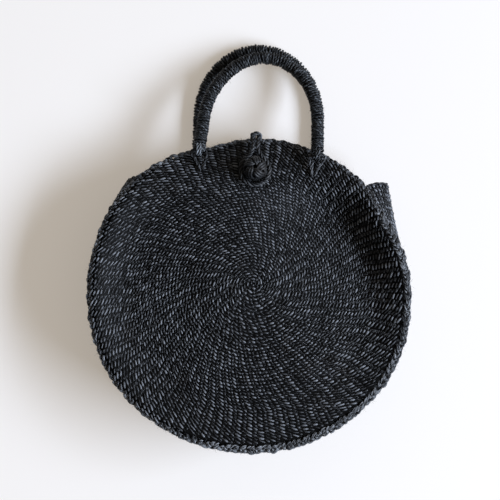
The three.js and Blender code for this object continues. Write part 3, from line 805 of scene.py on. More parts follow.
@dataclass(frozen=True)
class Plait:
    """Border plaited from three flat strands of four cords, which swing across and, twice as often, up."""

    strands: int = 3
    cords: int = 4
    periods: int = 64
    swing: float = 0.0025
    rise: float = 0.0018
    cord_radius: float = 0.00072
    cord_spacing: float = 1.5
    cord_stray: float = 0.6
    uneven_phase: float = 0.7
    uneven_pull: float = 0.40
    rubbed: float = 0.75
    steps: int = 14
    sides: int = 5

    def around(self, rim: Callable[[Array], Array], seed: int) -> StrandMesh:
        """Plait carried round a closed rim.

        Args:
            rim: Centre line, as a function of the angle.
            seed: Seed of the random numbers.

        Returns:
            The mesh of its cords.
        """
        mesh = StrandMesh(seed)
        angle = full_turn(self.periods * self.steps)
        line = rim(angle)
        along = tangents(line, closed=True)
        radial = stacked(np.cos(angle), np.sin(angle), np.zeros_like(angle))
        side = unit(radial - np.sum(radial * along, axis=1, keepdims=True) * along)
        above = np.cross(side, along)
        for strand in range(self.strands):
            phase = self.periods * angle + 2 * np.pi * strand / self.strands
            phase = phase + self.uneven_phase * self.unsteady(angle, mesh.rng)
            sway = self.swing * (1.0 + self.uneven_pull * self.unsteady(angle, mesh.rng)) * np.sin(phase)
            lift = self.rise * (1.0 + self.uneven_pull * self.unsteady(angle, mesh.rng)) * np.sin(2 * phase)
            middle = line + side * sway[:, None] + above * lift[:, None]
            across = np.cross(tangents(middle, closed=True), above)
            for cord in range(self.cords):
                place = self.cord_spacing * self.cord_radius * (cord - (self.cords - 1) / 2)
                stray = self.cord_stray * self.cord_radius * self.unsteady(angle, mesh.rng)
                rise = self.cord_stray * self.cord_radius * self.unsteady(angle, mesh.rng)
                points = middle + across * (place + stray)[:, None] + above * rise[:, None]
                rubbed = np.clip(self.rubbed + self.rubbed * self.unsteady(angle, mesh.rng), 0.0, 1.0)
                skin = tube(points, above, (self.cord_radius,) * 2, self.sides, closed=True)
                mesh.add(skin, closed=True, wear_and_shade=rubbed)
        return mesh

    @staticmethod
    def unsteady(angle: Array, rng: np.random.Generator) -> Array:
        """Uneven pull round the rim, between about -1 and 1: a mean of sines with whole numbers of waves."""
        phases = rng.uniform(0.0, 2 * np.pi, len(RIM_WAVES))
        return np.mean(np.sin(angle[:, None] * RIM_WAVES + phases), axis=1) * WANDER_GAIN


@dataclass(frozen=True)
class PliedCord:
    """Cord of twisted plies: each ply is a helix about the cord's line."""

    diameter: float
    plies: int = 2
    lay: float = 4.2
    sides: int = 7
    steps: float = 3.2
    pair_share: float = 0.5
    more_share: float = 0.46
    flattened: float = 1.12
    tip: float = 0.5

    def along(self, mesh: StrandMesh, line: Array, closed: bool = False) -> None:
        """Lays the cord along a line.

        Args:
            mesh: Mesh to add it to.
            line: Points of the cord's centre line.
            closed: Whether the line closes on itself.
        """
        points = evenly(np.concatenate([line, line[:1]]) if closed else line, self.diameter / self.steps)
        run = lengths_along(points)
        turns = run[-1] / (self.lay * self.diameter)
        turns = max(1.0, round(turns)) if closed else turns
        if closed:
            points, run = points[:-1], run[:-1]
        first, second = square_to(tangents(points, closed), RIGHT, UP)
        ply = self.diameter / 2 * (self.pair_share if self.plies == 2 else self.more_share)
        whole = lengths_along(np.concatenate([points, points[:1]]))[-1] if closed else run[-1]
        for number in range(self.plies):
            turn = 2 * np.pi * (turns * run / whole + number / self.plies)
            spoke = first * np.cos(turn)[:, None] + second * np.sin(turn)[:, None]
            strand = points + spoke * (self.diameter / 2 - ply)
            skin = tube(strand, spoke, (ply, self.flattened * ply), self.sides, closed)
            mesh.add(skin, closed=closed, cap=self.tip)


@dataclass(frozen=True)
class WoundHandle:
    """Arched handle wound with one strand from foot to foot, which closes over both feet."""

    name: str
    body: Body
    eye: tuple[float, float, float]
    droop: float
    lean: float
    narrowing: float
    span: float
    seed: int
    rise: float = 0.121
    arch_rise: float = 0.080
    diameter: float = 0.014
    foot_radius: float = 0.0064
    cord_diameter: float = 0.0028
    pitch: float = 0.0030
    lay: float = 0.0088
    loose: float = 0.0005
    loose_wave: float = 0.0045
    shift: float = 0.45
    shift_wave: float = 0.023
    wound_share: tuple[float, float] = (0.012, 0.988)
    ply_share: float = 0.29
    flattened: float = 1.15
    rubbed: tuple[float, float] = (0.40, 1.1)
    rubbed_wave: float = 0.007
    foot_shifts: tuple[float, float] = (-1.05, 1.05)
    foot_cord: float = 1.15
    foot_lay: float = 3.4
    foot_profile: tuple[tuple[float, float], ...] = (
        (0.75, 0.72),
        (0.15, 0.90),
        (-0.50, 0.76),
        (-0.78, 0.42),
        (-0.70, 0.10),
    )
    tip: float = 0.3
    fine_step: float = 0.0005
    core_step: float = 0.004
    core_trim: int = 4
    core_inset: float = 0.55
    core_sides: int = 12
    hairs: int = 420
    hair_step: float = 0.001
    hair_trim: int = 8
    leg_points: int = 30
    arch_points: int = 240
    steps: int = 36
    sides: int = 5

    def line(self) -> Array:
        """Centre line in the handle's own frame: legs along +Y joined by half an ellipse, leant sideways."""
        leg, spring = self.span / 2, self.rise - self.arch_rise
        up = np.linspace(-self.foot_radius, spring, self.leg_points, endpoint=False)
        turn = np.linspace(np.pi, 0.0, self.arch_points)
        straight = np.full(self.leg_points, leg)
        x = np.concatenate([-straight, leg * np.cos(turn), straight])
        y = np.concatenate([up, spring + self.arch_rise * np.sin(turn), up[::-1]])
        high = np.maximum(y, 0.0) / self.rise
        return stacked(x * (1.0 - self.narrowing * high) + self.lean * high, y, np.zeros_like(x))

    def placed(self, points: Array) -> Array:
        """Points of the handle's own frame, turned down by its droop and set on its eyes."""
        return turned(points, -self.droop) + np.array(self.eye)

    def wound(self) -> StrandMesh:
        """The winding: a two-ply cord on a helix of the handle's radius, which shrinks to close each foot."""
        mesh = StrandMesh(self.seed)
        line = evenly(self.line(), self.fine_step)
        run = lengths_along(line)
        turns = run[-1] / self.pitch
        share = np.linspace(*self.wound_share, int(turns * self.steps))
        shift = self.shift * self.pitch * wander(share * run[-1], self.shift_wave, mesh.rng)
        place = np.clip(share * run[-1] + shift, 0.0, run[-1])
        centre = read_off(place, run, line)
        smooth = read_off(share * run[-1], run, line)
        beside = np.cross(UP, tangents(smooth))
        turn = 2 * np.pi * turns * share
        spoke = beside * np.cos(turn)[:, None] + UP * np.sin(turn)[:, None]
        inside = np.clip(self.foot_radius - np.minimum(place, run[-1] - place), 0.0, None)
        swell = (self.diameter - self.cord_diameter) / 2 + self.loose
        radius = np.sqrt(np.clip(self.foot_radius**2 - inside**2, 0.0, None)) * swell / self.foot_radius
        radius = radius + self.loose * wander(place, self.loose_wave, mesh.rng)
        course = centre + spoke * radius[:, None]
        twist = 2 * np.pi * lengths_along(course) / self.lay
        along_leg = np.cross(tangents(course), spoke)
        ply = self.ply_share * self.cord_diameter
        for part in (0.0, np.pi):
            out = np.cos(twist + part)[:, None] * spoke + np.sin(twist + part)[:, None] * along_leg
            points = course + out * (self.cord_diameter / 2 - ply)
            patchy = wander(lengths_along(course), self.rubbed_wave, mesh.rng)
            rubbed = np.clip(self.rubbed[0] + self.rubbed[1] * patchy, 0.0, 1.0)
            skin = tube(points, out, (ply, self.flattened * ply), self.sides)
            mesh.add(self.placed(skin), cap=self.tip, wear_and_shade=rubbed)
        for side in (-1, 1):
            self._foot_strands(mesh, side)
        return mesh

    def _foot_strands(self, mesh: StrandMesh, side: int) -> None:
        """Two strands laid lengthwise over one foot and round its end."""
        radius = self.cord_diameter / 2
        over = self.foot_radius + radius
        cord = PliedCord(self.foot_cord * self.cord_diameter, lay=self.foot_lay)
        for shift in self.foot_shifts:
            x = side * self.span / 2 + shift * radius
            course = np.array([(x, over * y, over * z) for y, z in self.foot_profile])
            cord.along(mesh, self.placed(spline(course)))

    def core(self) -> StrandMesh:
        """The core inside the winding, a plain tube along the same line."""
        mesh = StrandMesh(self.seed + 50)
        line = evenly(self.line(), self.core_step)[self.core_trim : -self.core_trim]
        upward = np.broadcast_to(UP, line.shape)
        radius = self.diameter / 2 - self.core_inset * self.cord_diameter
        mesh.add(self.placed(tube(line, upward, (radius, radius), self.core_sides)), cap=0.5, wear_and_shade=0.0)
        return mesh

    def fuzz(self) -> StrandMesh:
        """Broken fibre ends that stand out of the winding."""
        line = evenly(self.line(), self.hair_step)[self.hair_trim : -self.hair_trim]
        return StrayFibres(self.seed + 70).over(line, self.diameter / 2, self.placed, self.hairs)


@dataclass(frozen=True)
class StrayFibres:
    """Short broken fibres along a cord: thin hairs that leave its skin and curl over."""

    seed: int
    length: tuple[float, float] = (0.0012, 0.0040)
    thickness: float = 0.00011
    root: float = 0.92
    slant: float = 1.3
    curl: float = 0.45
    taper: float = 0.6

    def over(
        self, line: Array, radius: float, placed: Callable[[Array], Array], count: int, closed: bool = False
    ) -> StrandMesh:
        """Hairs at random places of a line's skin.

        Each hair is a parabola: it leaves along a slanted spoke and bends by a random direction times the
        squared share of its length, while its triangular section shrinks.

        Args:
            line: The cord's centre line.
            radius: Its radius.
            placed: Takes points of the line's frame to the scene's.
            count: Number of hairs.
            closed: Whether the line closes on itself.

        Returns:
            The mesh of the hairs.
        """
        mesh = StrandMesh(self.seed)
        rng = mesh.rng
        chosen = rng.integers(0, len(line), count)
        tangent = tangents(line, closed)[chosen]
        first, second = square_to(tangent, UP, RIGHT)
        turn = rng.uniform(0.0, 2 * np.pi, (count, 1))
        spoke = first * np.cos(turn) + second * np.sin(turn)
        start = line[chosen] + self.root * radius * spoke
        leave = unit(spoke + tangent * rng.uniform(-self.slant, self.slant, (count, 1)))
        curl = unit(rng.normal(size=(count, 3)))
        reach = rng.uniform(*self.length, (count, 1))
        share = np.linspace(0.0, 1.0, 4)[None, :, None]
        bend = leave[:, None] * share + self.curl * curl[:, None] * share**2
        course = start[:, None] + reach[:, None] * bend
        across = unit(np.cross(leave, curl))[:, None, None]
        over = np.cross(leave, across[:, 0, 0])[:, None, None]
        corner = (2 * np.pi * np.arange(3) / 3)[None, None, :, None]
        thin = (self.thickness * (1.0 - self.taper * share))[:, :, None]
        grid = course[:, :, None] + thin * (across * np.cos(corner) + over * np.sin(corner))
        mesh.add(placed(grid), cap=0.5, wear_and_shade=1.0)
        return mesh


@dataclass(frozen=True)
class Lashing:
    """Cord that ties one foot of a handle to a panel, in a V from the foot's eye to one hole."""

    form: BagForm
    eye: tuple[float, float, float]
    facing: int
    side: int
    seed: int
    diameter: float = 0.0028
    reach: float = 0.019
    toe_in: float = 0.0035
    splay: float = 0.0087
    pair: float = 0.0017
    foot_radius: float = 0.0064
    knot_diameter: float = 0.009
    hole_clearance: float = 0.0012
    straps: tuple[float, ...] = (-3.3, 3.3)
    cord_swell: float = 1.15
    cord_lay: float = 3.4
    knot_swell: float = 1.25
    knot_tilt: float = 0.7
    corrections: int = 20

    @property
    def toe(self) -> float:
        """How far the hole lies to the side, in the lashing's own frame."""
        return -self.side * self.facing * self.toe_in

    @property
    def angle(self) -> float:
        """Slope of the panel that the lashing lies on."""
        return self.form.flap_angle(self.form.rim_radius) if self.facing > 0 else 0.0

    def placed(self, points: Array) -> Array:
        """Points of the lashing's own frame, turned to face out of its panel and set on the eye."""
        flipped = points * np.array([self.facing, 1.0, self.facing])
        return turned(flipped, self.angle) + np.array(self.eye)

    def drop(self) -> float:
        """Distance from the eye down to the panel's outer face at the hole, by repeated correction."""
        surface = self.form.front if self.facing > 0 else self.form.back
        depth = 0.0
        for _ in range(self.corrections):
            x, y, z = self.placed(np.array([self.toe, -self.reach, -depth]))
            face = self.form.height(surface, x, y) + self.facing * self.form.panel_thickness / 2
            depth += math.cos(self.angle) * (z - face) * self.facing
        return depth

    def half_route(self, side: int, drop: float) -> Array:
        """Knots of one strand, from inside the bag up through the hole to the eye."""
        radius = self.diameter / 2
        inside = drop + self.form.panel_thickness
        toe = self.toe
        return np.array(
            [
                (toe + side * self.pair, -self.reach, -inside - 2 * radius),
                (toe + side * self.pair, -self.reach, -drop),
                (0.88 * toe + side * 1.6 * self.pair, -0.88 * self.reach, -drop + 2.2 * radius),
                (0.45 * toe + side * 0.7 * self.splay, -0.45 * self.reach, -0.45 * drop),
                (side * self.splay, -2 * radius, -0.1 * drop),
                (side * (self.foot_radius + radius), 0.0, 0.0),
                (side * 0.7 * self.foot_radius, 0.0, 0.0),
            ]
        )

    def tied(self) -> StrandMesh:
        """The cord, two strands from below the foot, and the end knot inside as crossed turns."""
        mesh = StrandMesh(self.seed)
        drop = self.drop()
        cord = PliedCord(self.cord_swell * self.diameter, lay=self.cord_lay)
        route = np.concatenate([self.half_route(-1, drop), self.half_route(1, drop)[::-1]])
        cord.along(mesh, self.placed(spline(route)))
        radius = self.diameter / 2
        over = self.foot_radius + radius
        for shift in self.straps if self.facing > 0 else ():
            strap = np.array(
                [
                    (shift * radius, -0.45 * over, -0.92 * over),
                    (shift * radius, -0.82 * over, -0.74 * over),
                    (0.55 * self.toe + 0.75 * shift * radius, -0.6 * self.reach, -0.18 * over - 0.45 * drop),
                    (0.93 * self.toe + 0.4 * shift * radius, -0.93 * self.reach, -0.93 * drop),
                    (self.toe + 0.35 * shift * radius, -self.reach, -drop - self.form.panel_thickness),
                ]
            )
            cord.along(mesh, self.placed(spline(strap)))
        knot_radius = self.knot_diameter / 2
        below = drop + self.form.panel_thickness + self.hole_clearance + knot_radius
        middle = np.array([self.toe, -self.reach, -below])
        for circle in crossed_turns(knot_radius - radius, self.knot_tilt):
            PliedCord(self.knot_swell * self.diameter).along(mesh, self.placed(circle + middle), closed=True)
        return mesh


@dataclass(frozen=True)
class KnotKnob:
    """Ball tied from cord round a filling, on a cord through the flap."""

    form: BagForm
    y: float = 0.133
    gap: float = 0.0019
    mean_radius: float = 0.0114
    weave: float = 0.0021
    latitude: float = math.radians(65.0)
    leads: int = 3
    bights: int = 5
    cord_diameter: float = 0.0036
    strand_diameter: float = 0.0030
    shank_diameter: float = 0.004
    end_knot_diameter: float = 0.010
    end_knot_tilt: float = 0.75
    # Crest paleness of the ball's strands, kept low so that the ball renders darker than the handles.
    rubbed: float = 0.08
    course_points: int = 420
    strand_sides: int = 8
    filling_hole: float = 0.08
    filling_rows: int = 14
    filling_sides: int = 24
    strand_spacing: float = 0.94
    strand_section: tuple[float, float] = (0.92, 1.05)

    @property
    def stand(self) -> float:
        """Height of the ball's centre above the flap's face."""
        return self.mean_radius * math.sin(self.latitude) + self.cord_diameter / 2 + self.gap

    def placed(self, points: Array) -> Array:
        """Points over the flap's face at the knob, turned with the flap."""
        angle = self.form.flap_angle(self.form.flat_y(self.form.front, self.y))
        face = self.form.height(self.form.front, 0.0, self.y) + self.form.panel_thickness / 2
        return turned(points, angle) + np.array([0.0, self.y, face])

    def strands(self) -> StrandMesh:
        """The knot, three strands side by side on one closed course over and under itself.

        Longitude runs leads times round while latitude swings bights times, and the radius swings twice
        as often, which takes the cord over and under in turn.

        Returns:
            The mesh of the strands.
        """
        mesh = StrandMesh(seed=41)
        t = full_turn(self.course_points)
        latitude = self.latitude * np.cos(self.bights * t)
        radius = self.mean_radius + self.weave * np.sin(2 * self.bights * t)
        longitude = self.leads * t
        flat = np.cos(latitude)
        outward = stacked(flat * np.sin(longitude), -flat * np.cos(longitude), np.sin(latitude))
        course = outward * radius[:, None]
        beside = np.cross(tangents(course, closed=True), outward)
        for place in (-1, 0, 1):
            aside = beside * place * self.strand_spacing * self.strand_diameter
            moved = unit(course + aside) * radius[:, None]
            thick, wide = (share * self.strand_diameter / 2 for share in self.strand_section)
            grid = tube(moved, outward, (thick, wide), self.strand_sides, closed=True)
            mesh.add(self.placed(grid + UP * self.stand), closed=True, wear_and_shade=self.rubbed)
        return mesh

    def filling(self) -> StrandMesh:
        """The filling, a ball as a half circle carried round."""
        mesh = StrandMesh(seed=42)
        radius = self.mean_radius - self.weave - self.cord_diameter / 2 - self.form.clearance
        down = np.linspace(self.filling_hole, np.pi - self.filling_hole, self.filling_rows)[:, None]
        turn = full_turn(self.filling_sides)
        ball = stacked(np.sin(down) * np.cos(turn), np.sin(down) * np.sin(turn), np.cos(down)) * radius
        mesh.add(self.placed(ball + UP * self.stand)[None], wear_and_shade=0.0)
        return mesh

    def shank(self) -> StrandMesh:
        """The cord that ties the ball through the flap, with an end knot of crossed turns inside."""
        mesh = StrandMesh(seed=43)
        inside = -self.form.panel_thickness - self.form.clearance
        knot = self.end_knot_diameter / 2
        heights = (inside - knot, 0.0, self.stand - self.mean_radius / 2)
        line = np.array([(0.0, 0.0, height) for height in heights])
        cord = PliedCord(self.shank_diameter)
        cord.along(mesh, self.placed(spline(line)))
        for circle in crossed_turns(knot - self.shank_diameter / 2, self.end_knot_tilt):
            cord.along(mesh, self.placed(circle + UP * (inside - knot)), closed=True)
        return mesh


@dataclass(frozen=True)
class ClosureLoop:
    """Cord loop hitched round the back border, over the mouth and round the knob."""

    form: BagForm
    knob: KnotKnob
    diameter: float = 0.0054
    slack: float = 0.005
    pair_gap: float = 0.0001
    lift: float = 0.0007
    keeper_diameter: float = 0.0044
    keeper_turn: float = math.radians(42.0)
    hitch_turns: tuple[float, float] = (-8.0, 8.0)
    rim_turns: tuple[float, float, float] = (-5.0, 35.0, 78.0)
    plies: int = 3
    lay: float = 3.2
    turn_points: int = 48

    def tied(self) -> StrandMesh:
        """The loop, the two turns of its hitch, and the turn round both legs at the rim, of twisted cord."""
        mesh = StrandMesh(seed=44)
        form = self.form
        cord = self.diameter / 2
        ring = self.knob.mean_radius + self.slack
        hitch_radius = form.border_radius + form.clearance + cord
        over_radius = hitch_radius + form.clearance
        beside = (self.diameter + self.pair_gap) / 2
        front_top = form.front_rim(np.array(np.pi / 2))
        back_top = form.back_rim(np.array(np.pi / 2))
        height = cord + self.lift
        root_half = math.sqrt(0.5)
        about = [(back_top, turn, hitch_radius) for turn in self.hitch_turns]
        about += [(front_top, turn, over_radius) for turn in self.rim_turns]
        rising = [
            centre + turned(np.array([beside, reach, 0.0]), math.radians(turn))
            for centre, turn, reach in about
        ]
        on_flap = np.array(
            [
                (1.05 * beside, 1.5 * ring, height),
                (0.4 * ring, 1.08 * ring, height),
                (0.84 * ring, 0.62 * ring, height),
                (ring, 0.0, height),
                (root_half * ring, -root_half * ring, height),
                (0.0, -ring, height),
            ]
        )
        half = np.concatenate([np.array(rising), self.knob.placed(on_flap)])
        mirrored = half[-2::-1] * np.array([-1.0, 1.0, 1.0])
        twisted = PliedCord(self.diameter, plies=self.plies, lay=self.lay)
        twisted.along(mesh, spline(np.concatenate([half, mirrored])))
        turn = full_turn(self.turn_points)
        for x in (-beside, beside):
            circle = stacked(x, hitch_radius * np.cos(turn), hitch_radius * np.sin(turn))
            twisted.along(mesh, circle + back_top, closed=True)
        out = np.array([0.0, math.cos(self.keeper_turn), math.sin(self.keeper_turn)])
        thin = PliedCord(self.keeper_diameter)
        wide, deep = 2 * cord + beside - self.diameter / 2, cord + self.keeper_diameter / 2
        oval = stacked(np.cos(turn) * wide, np.zeros_like(turn), np.zeros_like(turn))
        oval = oval + out * (over_radius + deep * np.sin(turn))[:, None]
        thin.along(mesh, oval + front_top, closed=True)
        return mesh


def linear(hex_colour: str) -> tuple[float, float, float, float]:
    """Linear colour of an sRGB hex value, by the sRGB transfer curve."""
    parts = [int(hex_colour[i : i + 2], 16) / 255.0 for i in (1, 3, 5)]
    low = [part / 12.92 if part <= 0.04045 else ((part + 0.055) / 1.055) ** 2.4 for part in parts]
    return (*low, 1.0)


def add_node(
    tree: bpy.types.NodeTree, kind: str, inputs: dict[str | int, object] | None = None, **settings: object
) -> bpy.types.Node:
    """Adds a node with its settings and links.

    Args:
        tree: Node tree.
        kind: Type of the node, without the words that all shader types start with.
        inputs: Values or output sockets, by the name or number of the input.
        settings: Properties of the node.

    Returns:
        The node.
    """
    node = tree.nodes.new("ShaderNode" + kind)
    for key, value in settings.items():
        setattr(node, key, value)
    for key, value in (inputs or {}).items():
        if isinstance(value, bpy.types.NodeSocket):
            tree.links.new(value, node.inputs[key])
        else:
            node.inputs[key].default_value = value
    return node


@dataclass(frozen=True)
class AbacaFinish:
    """Black-dyed abaca: long glossy leaf fibres, twisted by hand, with dye that took unevenly.

    The eye gets fine streaks along each strand, a satin gloss, and strands of slightly different blacks.
    Each crest is pale and each dive black: partly real rubbing, partly painted highlight and painted shade.
    """

    name: str
    deep: str = "#05070b"
    pale: str = "#777a7f"
    worn: str = "#2a2520"
    fibre_mm: float = 0.8
    streak_mm: float = 9.0
    patch_mm: float = 30.0
    roughness: tuple[float, float] = (0.42, 0.62)
    relief_mm: float = 0.28
    relief: float = 0.7
    gloss: float = 0.4
    refraction: float = 1.5
    tone_weight: float = 1.1
    tone_span: tuple[float, float] = (0.6, 1.5)
    patch_span: tuple[float, float] = (0.58, 0.8)
    patch_share: float = 0.5

    def material(self) -> bpy.types.Material:
        """Makes the material."""
        material = bpy.data.materials.new(self.name)
        material.use_nodes = True
        tree = material.node_tree
        tree.nodes.clear()
        strand = add_node(tree, "UVMap", uv_map="strand")
        scale = (1.0 / self.streak_mm, 1.0 / self.fibre_mm, 1.0)
        stretched = add_node(tree, "Mapping", {"Vector": strand.outputs["UV"], "Scale": scale})
        along = {"Vector": stretched.outputs[0], "Scale": 1.0, "Detail": 3.0}
        fibre = add_node(tree, "TexNoise", along)
        place = add_node(tree, "TexCoord")
        spots = {"Vector": place.outputs["Object"], "Scale": 1000.0 / self.patch_mm, "Detail": 2.0}
        patch = add_node(tree, "TexNoise", spots)
        # Paleness on crests and black in dives from the point attribute: painted highlight and painted shade
        # over real rubbing.
        tone = add_node(tree, "Attribute", attribute_name="tone")
        wear_and_shade = add_node(tree, "Attribute", attribute_name="wear_and_shade")
        both = {0: tone.outputs["Fac"], 1: self.tone_weight, 2: fibre.outputs[0]}
        mixed = add_node(tree, "Math", both, operation="MULTIPLY_ADD")
        low, high = self.tone_span
        spread = {"Value": mixed.outputs[0], "From Min": low, "From Max": high}
        ramp = add_node(tree, "MapRange", spread)
        rubbed = {0: ramp.outputs[0], 1: wear_and_shade.outputs["Fac"]}
        crest = add_node(tree, "Math", rubbed, operation="MULTIPLY")
        shades = {"Factor": crest.outputs[0], "A": linear(self.deep), "B": linear(self.pale)}
        black = add_node(tree, "Mix", shades, data_type="RGBA")
        low, high = self.patch_span
        faded = {"Value": patch.outputs["Fac"], "From Min": low, "From Max": high}
        thin = add_node(tree, "MapRange", faded)
        part = {0: thin.outputs[0], 1: self.patch_share}
        share = add_node(tree, "Math", part, operation="MULTIPLY")
        dyed = {"Factor": share.outputs[0], "A": black.outputs["Result"], "B": linear(self.worn)}
        colour = add_node(tree, "Mix", dyed, data_type="RGBA")
        low, high = self.roughness
        satin = {"Value": fibre.outputs["Fac"], "To Min": low, "To Max": high}
        rough = add_node(tree, "MapRange", satin)
        ridges = {"Height": fibre.outputs["Fac"], "Strength": self.relief, "Distance": self.relief_mm * MM}
        bump = add_node(tree, "Bump", ridges)
        skin = {
            "Base Color": colour.outputs["Result"],
            "Roughness": rough.outputs[0],
            "Normal": bump.outputs[0],
            "Specular IOR Level": self.gloss,
            "IOR": self.refraction,
        }
        shader = add_node(tree, "BsdfPrincipled", skin)
        add_node(tree, "OutputMaterial", {"Surface": shader.outputs[0]})
        return material


@dataclass(frozen=True)
class Studio:
    """Pale floor, soft light from the right and a camera straight above."""

    floor_colour: str = "#f6f5f4"
    floor_roughness: float = 0.6
    floor_glow: str = "#fff3e4"
    floor_glow_share: float = 0.34
    floor_size: float = 4.0
    fill_colour: str = "#fff4e6"
    fill_strength: float = 0.24
    fill_lean: float = 0.9
    fill_azimuth: float = math.radians(35.0)
    key_colour: str = "#e0ecff"
    key_power: float = 238.0
    key_tall: float = 0.9
    key_wide: float = 2.8
    key_distance: float = 3.2
    key_elevation: float = math.radians(31.0)
    key_azimuth: float = math.radians(-9.0)
    camera_place: tuple[float, float, float] = (-0.0018, 0.044, 1.180)
    camera_roll: float = math.radians(2.3)
    camera_angle: float = math.radians(28.07)

    def build(self) -> None:
        """Makes the floor, the lights and the camera."""
        scene = bpy.context.scene
        scene.view_settings.view_transform = "Standard"
        self._floor()
        self._lights()
        camera = bpy.data.objects.new("camera", bpy.data.cameras.new("camera"))
        camera.data.angle = self.camera_angle
        camera.location = self.camera_place
        camera.rotation_euler = (0.0, 0.0, self.camera_roll)
        scene.collection.objects.link(camera)
        scene.camera = camera

    def _floor(self) -> None:
        """A flat pale sheet just under the bag."""
        half = self.floor_size / 2
        mesh = bpy.data.meshes.new("floor")
        corners = [(-half, -half, 0.0), (half, -half, 0.0), (half, half, 0.0), (-half, half, 0.0)]
        mesh.from_pydata(corners, [], [(0, 1, 2, 3)])
        material = bpy.data.materials.new("painted_board")
        material.use_nodes = True
        tree = material.node_tree
        tree.nodes.clear()
        matt = {"Color": linear(self.floor_colour), "Roughness": self.floor_roughness}
        paint = add_node(tree, "BsdfDiffuse", matt)
        glow = add_node(tree, "Emission", {"Color": linear(self.floor_glow), "Strength": 1.0})
        path = add_node(tree, "LightPath")
        seen = path.outputs["Is Camera Ray"]
        for other in ("Is Glossy Ray", "Is Transmission Ray"):
            both = {0: seen, 1: path.outputs[other]}
            seen = add_node(tree, "Math", both, operation="MAXIMUM").outputs[0]
        share = {0: seen, 1: self.floor_glow_share}
        factor = add_node(tree, "Math", share, operation="MULTIPLY")
        inputs = {0: factor.outputs[0], 1: paint.outputs[0], 2: glow.outputs[0]}
        shader = add_node(tree, "MixShader", inputs)
        add_node(tree, "OutputMaterial", {"Surface": shader.outputs[0]})
        mesh.materials.append(material)
        floor = bpy.data.objects.new("floor", mesh)
        bpy.context.scene.collection.objects.link(floor)

    def _lights(self) -> None:
        """A large key lamp from the right, low enough to shade the dish, and a room dimmer on the left."""
        world = bpy.data.worlds.new("room")
        world.use_nodes = True
        tree = world.node_tree
        tree.nodes.clear()
        place = add_node(tree, "TexCoord")
        bright_side = (math.cos(self.fill_azimuth), math.sin(self.fill_azimuth), 0.0)
        sides = {0: place.outputs["Generated"], 1: bright_side}
        facing = add_node(tree, "VectorMath", sides, operation="DOT_PRODUCT")
        low, high = (self.fill_strength * (1.0 + lean) for lean in (-self.fill_lean, self.fill_lean))
        ends = {"From Min": -1.0, "From Max": 1.0, "To Min": low, "To Max": high}
        level = add_node(tree, "MapRange", {"Value": facing.outputs["Value"], **ends})
        inputs = {"Color": linear(self.fill_colour), "Strength": level.outputs[0]}
        fill = add_node(tree, "Background", inputs)
        add_node(tree, "OutputWorld", {"Surface": fill.outputs[0]})
        bpy.context.scene.world = world
        lamp = bpy.data.lights.new("key", "AREA")
        lamp.shape = "RECTANGLE"
        lamp.size = self.key_tall
        lamp.size_y = self.key_wide
        lamp.energy = self.key_power
        lamp.color = linear(self.key_colour)[:3]
        key = bpy.data.objects.new("key", lamp)
        flat = self.key_distance * math.cos(self.key_elevation)
        key.location = (
            flat * math.cos(self.key_azimuth),
            flat * math.sin(self.key_azimuth),
            self.key_distance * math.sin(self.key_elevation),
        )
        key.rotation_euler = (0.0, math.pi / 2 - self.key_elevation, self.key_azimuth)
        bpy.context.scene.collection.objects.link(key)


